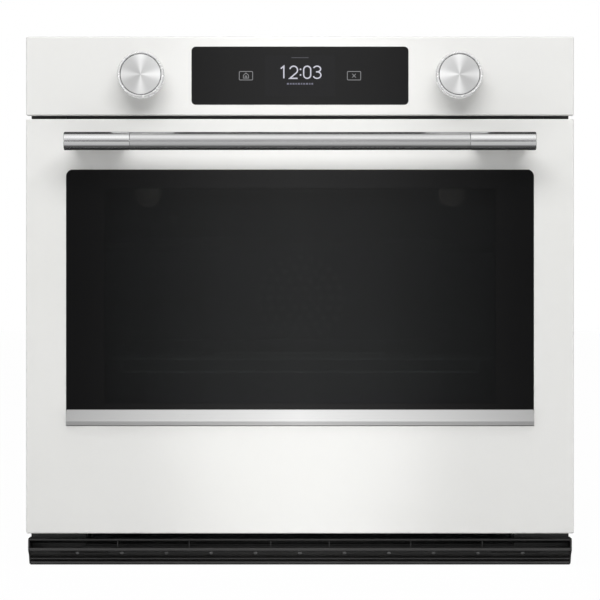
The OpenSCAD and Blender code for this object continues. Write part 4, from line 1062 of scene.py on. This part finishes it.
def gasket():
    """A braided tube that runs round the mouth of the cavity."""
    middle = (GASKET_LO.y + GASKET_HI.y) / 2

    def loop(inset, radius, steps=8):
        return rounded_rect((GASKET_LO.x + inset, GASKET_LO.z + inset),
                            (GASKET_HI.x - inset, GASKET_HI.z - inset), radius, steps)

    points = [(x, middle, z) for x, z in loop(0.0045, 0.016, 10)]
    braid = tube("gasket_braid", points, 0.0029, True, 6)
    finish_piece(braid, "chassis", "woven_gasket", replaces=["door_gasket"], weighted=False, sharp=60)
    back = GASKET_HI.y
    tail = plate("gasket_tail", [loop(0.0, 0.018), loop(0.009, 0.012)], back - 0.0008, back, 0.0002)
    finish_piece(tail, "chassis", "woven_gasket")


def raised_bead(start, end, half, height, place):
    """One pressed bead. place gives a point from the way along, the two offsets and the rise there."""
    bm = bmesh.new()
    outline = oval(0, 0, half, height, 0, 180, 10)
    rows = []
    for along, swell in bead_stations(start, end):
        rows.append([bm.verts.new(place(along, a * swell, b * swell, swell)) for a, b in outline])
    close_rows(bm, rows)
    return from_bmesh("bead", bm)


def stiffening_beads():
    """Pressed beads in the sides, the top and the back of the body."""
    lo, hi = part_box("right_side_panel")
    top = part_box("top_panel")[1].z - BEAD_ROOT
    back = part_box("back_panel")[1].y - BEAD_ROOT

    def on_side(side, z):
        return lambda y, a, b, swell: (side * (hi.x - 2 * BEAD_ROOT + BEAD_ROOT * swell + b), y, z + a)

    def on_top(x):
        return lambda y, a, b, swell: (x + a, y, top + b)

    def on_back(z):
        return lambda x, a, b, swell: (x, back + b, z + a)

    groups = {
        "side_beads": [raised_bead(lo.y + 0.05, hi.y - 0.10, 0.007, 0.0014, on_side(side, z))
                       for side in (-1, 1) for z in (0.16, 0.30, 0.44, 0.58)],
        "top_beads": [raised_bead(-0.12, 0.28, 0.008, 0.0016, on_top(x)) for x in (-0.24, -0.08, 0.08)],
        "back_beads": [raised_bead(-0.30, 0.30, 0.008, 0.0013, on_back(z)) for z in (0.13, 0.23, 0.33, 0.43)],
    }
    for name, beads in groups.items():
        finish_piece(join(name, beads), "chassis", "zinc_sheet", weighted=False, sharp=60)


def bead_stations(start, end, taper=0.014, steps=8):
    """Places along a bead with how far it has risen there."""
    rise = [(i / steps, math.sin(math.pi / 2 * i / steps)) for i in range(steps + 1)]
    return [(start + taper * t, s) for t, s in rise] + [(end - taper * t, s) for t, s in reversed(rise)]


def close_rows(bm, rows):
    """Skins rows of points into one closed shape."""
    for one, two in zip(rows, rows[1:]):
        for i in range(len(one)):
            j = (i + 1) % len(one)
            bm.faces.new((one[i], one[j], two[j], two[i]))
    bmesh.ops.remove_doubles(bm, verts=bm.verts, dist=1e-7)
    loops = [e for e in bm.edges if e.is_boundary]
    if loops:
        bmesh.ops.holes_fill(bm, edges=loops, sides=0)


def power_gland():
    """The conduit connector's lock ring round the power entry."""
    lo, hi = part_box("junction_box")
    x, z = (lo.x + hi.x) / 2, (lo.z + hi.z) / 2
    ring = lathe("gland_ring", [(0.0152, -0.0012), (0.0188, -0.0012), (0.0192, -0.0008), (0.0192, 0.0),
                                (0.0152, 0.0), (0.0152, -0.0012)], "Y", (x, hi.y, z), 64)
    finish_piece(ring, "chassis", "screw_steel")


def dress_cad_nodes():
    """Materials for the CAD nodes that stay."""
    special = {"base_pan": painted_toe_sheet(), "cooling_duct": painted_toe_sheet(),
               "base_runners": LOOKS["zinc_sheet"]}
    for name, obj in frame["nodes"].items():
        look = special.get(name, LOOKS[SLOT_OF[name]])
        obj.data.materials.clear()
        obj.data.materials.append(look)


# ---------- Studio ----------

def camera():
    data = bpy.data.cameras.new("camera")
    data.sensor_width = 36
    data.lens = 172.48
    data.clip_end = 100
    cam = bpy.data.objects.new("camera", data)
    bpy.context.scene.collection.objects.link(cam)
    cam.location = (0, Y_FACE - 4.0, 0.3714)
    cam.rotation_euler = (math.pi / 2, 0, 0)
    bpy.context.scene.camera = cam


def light(name, kind, at, target, power):
    """A lamp that neither the camera nor gloss sees."""
    data = bpy.data.lights.new(name, kind)
    data.energy = power
    obj = bpy.data.objects.new(name, data)
    bpy.context.scene.collection.objects.link(obj)
    obj.location = at
    obj.visible_glossy = False
    obj.visible_camera = False
    obj.rotation_euler = (Vector(target) - obj.location).to_track_quat("-Z", "Y").to_euler()
    return obj


def area(name, at, target, size, power):
    data = light(name, "AREA", at, target, power).data
    data.shape = "RECTANGLE"
    data.size, data.size_y = size


def spot(name, at, target, degrees, power, stretch):
    obj = light(name, "SPOT", at, target, power)
    obj.data.spot_size = math.radians(degrees)
    obj.data.spot_blend = 1.0
    obj.data.shadow_soft_size = 0.04
    obj.scale = (1.0, stretch, 1.0)


def fresh(made):
    """An empty node tree in a new material or world."""
    made.use_nodes = True
    made.node_tree.nodes.clear()
    return Graph(made.node_tree)


def world():
    """White to the camera, soft fill for matte surfaces, and a banded studio for gloss."""
    made = bpy.data.worlds.new("studio")
    bpy.context.scene.world = made
    g = fresh(made)

    def bands(letter, *stops):
        return g.ramp(g.span(g.split("Generated", letter), -1, 1, 0, 1), *stops)

    def background(colour, strength=1.0):
        node = g.add("ShaderNodeBackground")
        node.inputs["Strength"].default_value = strength
        g.put(colour, node.inputs["Color"])
        return node.outputs[0]

    white = g.add("ShaderNodeBackground")
    white.inputs["Color"].default_value = (1, 1, 1, 1)

    def choose(ray, otherwise, chosen):
        node = g.add("ShaderNodeMixShader")
        g.put(g.add("ShaderNodeLightPath").outputs[ray], node.inputs[0])
        g.put(otherwise, node.inputs[1])
        g.put(chosen, node.inputs[2])
        return node.outputs[0]

    tall = bands("Z", (0.0, 0.11), (0.04, 0.15), (0.11, 0.60), (0.24, 0.66), (0.60, 0.72), (0.86, 0.8),
                 (0.93, 0.9), (1.0, 0.9))
    front = bands("Y", (0.0, 1.0), (0.46, 1.0), (0.56, 0.10), (1.0, 0.06))
    product = g.add("ShaderNodeMix", data_type="RGBA", blend_type="MULTIPLY")
    product.inputs[0].default_value = 1
    g.put(tall, product.inputs[6])
    g.put(front, product.inputs[7])
    fill = background(bands("Z", (0.0, 0.9), (0.5, 1.0), (1.0, 0.75)), 0.37)
    seen = choose("Is Glossy Ray", fill, background(product.outputs[2]))
    seen = choose("Is Camera Ray", seen, white.outputs[0])
    g.put(seen, g.add("ShaderNodeOutputWorld").inputs["Surface"])


def floor():
    """A plain pale floor that fades into the backdrop."""
    bm = bmesh.new()
    bmesh.ops.create_grid(bm, x_segments=1, y_segments=1, size=30)
    obj = from_bmesh("floor", bm)
    made = bpy.data.materials.new("floor_paper")
    g = fresh(made)
    matte, glow = g.add("ShaderNodeBsdfDiffuse"), g.add("ShaderNodeEmission")
    matte.inputs["Color"].default_value = (0.8, 0.8, 0.8, 1)
    glow.inputs["Strength"].default_value = 1.0
    mixed = g.add("ShaderNodeMixShader")
    camera_ray = g.add("ShaderNodeLightPath").outputs["Is Camera Ray"]
    g.put(g.math("MULTIPLY", camera_ray, 0.985), mixed.inputs[0])
    g.put(matte.outputs[0], mixed.inputs[1])
    g.put(glow.outputs[0], mixed.inputs[2])
    g.put(mixed.outputs[0], g.add("ShaderNodeOutputMaterial").inputs["Surface"])
    obj.data.materials.append(made)
    obj.location.z = -0.0005
    obj.visible_glossy = False


def glow_card(name, corners, strength, stops=((0.0, 1.0), (1.0, 1.0))):
    """A flat panel that only gloss sees. Its brightness follows the stops out from x = 0."""
    bm = bmesh.new()
    bm.faces.new([bm.verts.new(c) for c in corners])
    obj = from_bmesh(name, bm)
    made = bpy.data.materials.new(name)
    g = fresh(made)
    away = g.math("ABSOLUTE", g.split("Object", "X"))
    glow = g.add("ShaderNodeEmission")
    g.put(g.ramp(away, *stops), glow.inputs["Color"])
    glow.inputs["Strength"].default_value = strength
    g.put(glow.outputs[0], g.add("ShaderNodeOutputMaterial").inputs["Surface"])
    obj.data.materials.append(made)
    obj.visible_camera = False
    obj.visible_diffuse = False
    obj.visible_shadow = False


def studio():
    bpy.context.scene.view_settings.view_transform = "Standard"
    world()
    floor()
    glow_card("gradient_card", [(-0.86, -6, -0.6), (0.86, -6, -0.6), (0.86, -6, 1.7), (-0.86, -6, 1.7)], 1.0,
              ((0.0, 0.62), (0.25, 0.50), (0.50, 0.27), (0.72, 0.14), (0.86, 0.10)))
    glow_card("overhead_card", [(-0.5, -1.75, 1.40), (0.5, -1.75, 1.40),
                                (0.5, -0.88, 1.90), (-0.5, -0.88, 1.90)], 1.2)
    for side in (-1, 1):
        glow_card("side_card", [(side * 2.0, -2.6, 0.0), (side * 1.2, -3.2, 0.0), (side * 1.2, -3.2, 0.9),
                                (side * 2.0, -2.6, 0.9)], 2.6)
    area("top_softbox", (0, -2.45, 2.75), (0, -0.29, 0.15), (3.6, 1.1), 81)
    area("cavity_glow", (0, -0.234, 0.172), (0, -0.205, 0.5), (0.5, 0.03), 5.0)
    spot("front_fill", (0, -4.1, 0.40), (0, -0.29, 0.41), 7.7, 140, 2.8)


camera()
dress_cad_nodes()
door_shell()
door_window()
sill()
handle()
handle_feet()
door_inside()
control_panel()
screen_marks()
knob("left")
knob("right")
vent()
rivets()
chassis_screws()
gasket()
stiffening_beads()
power_gland()
studio()
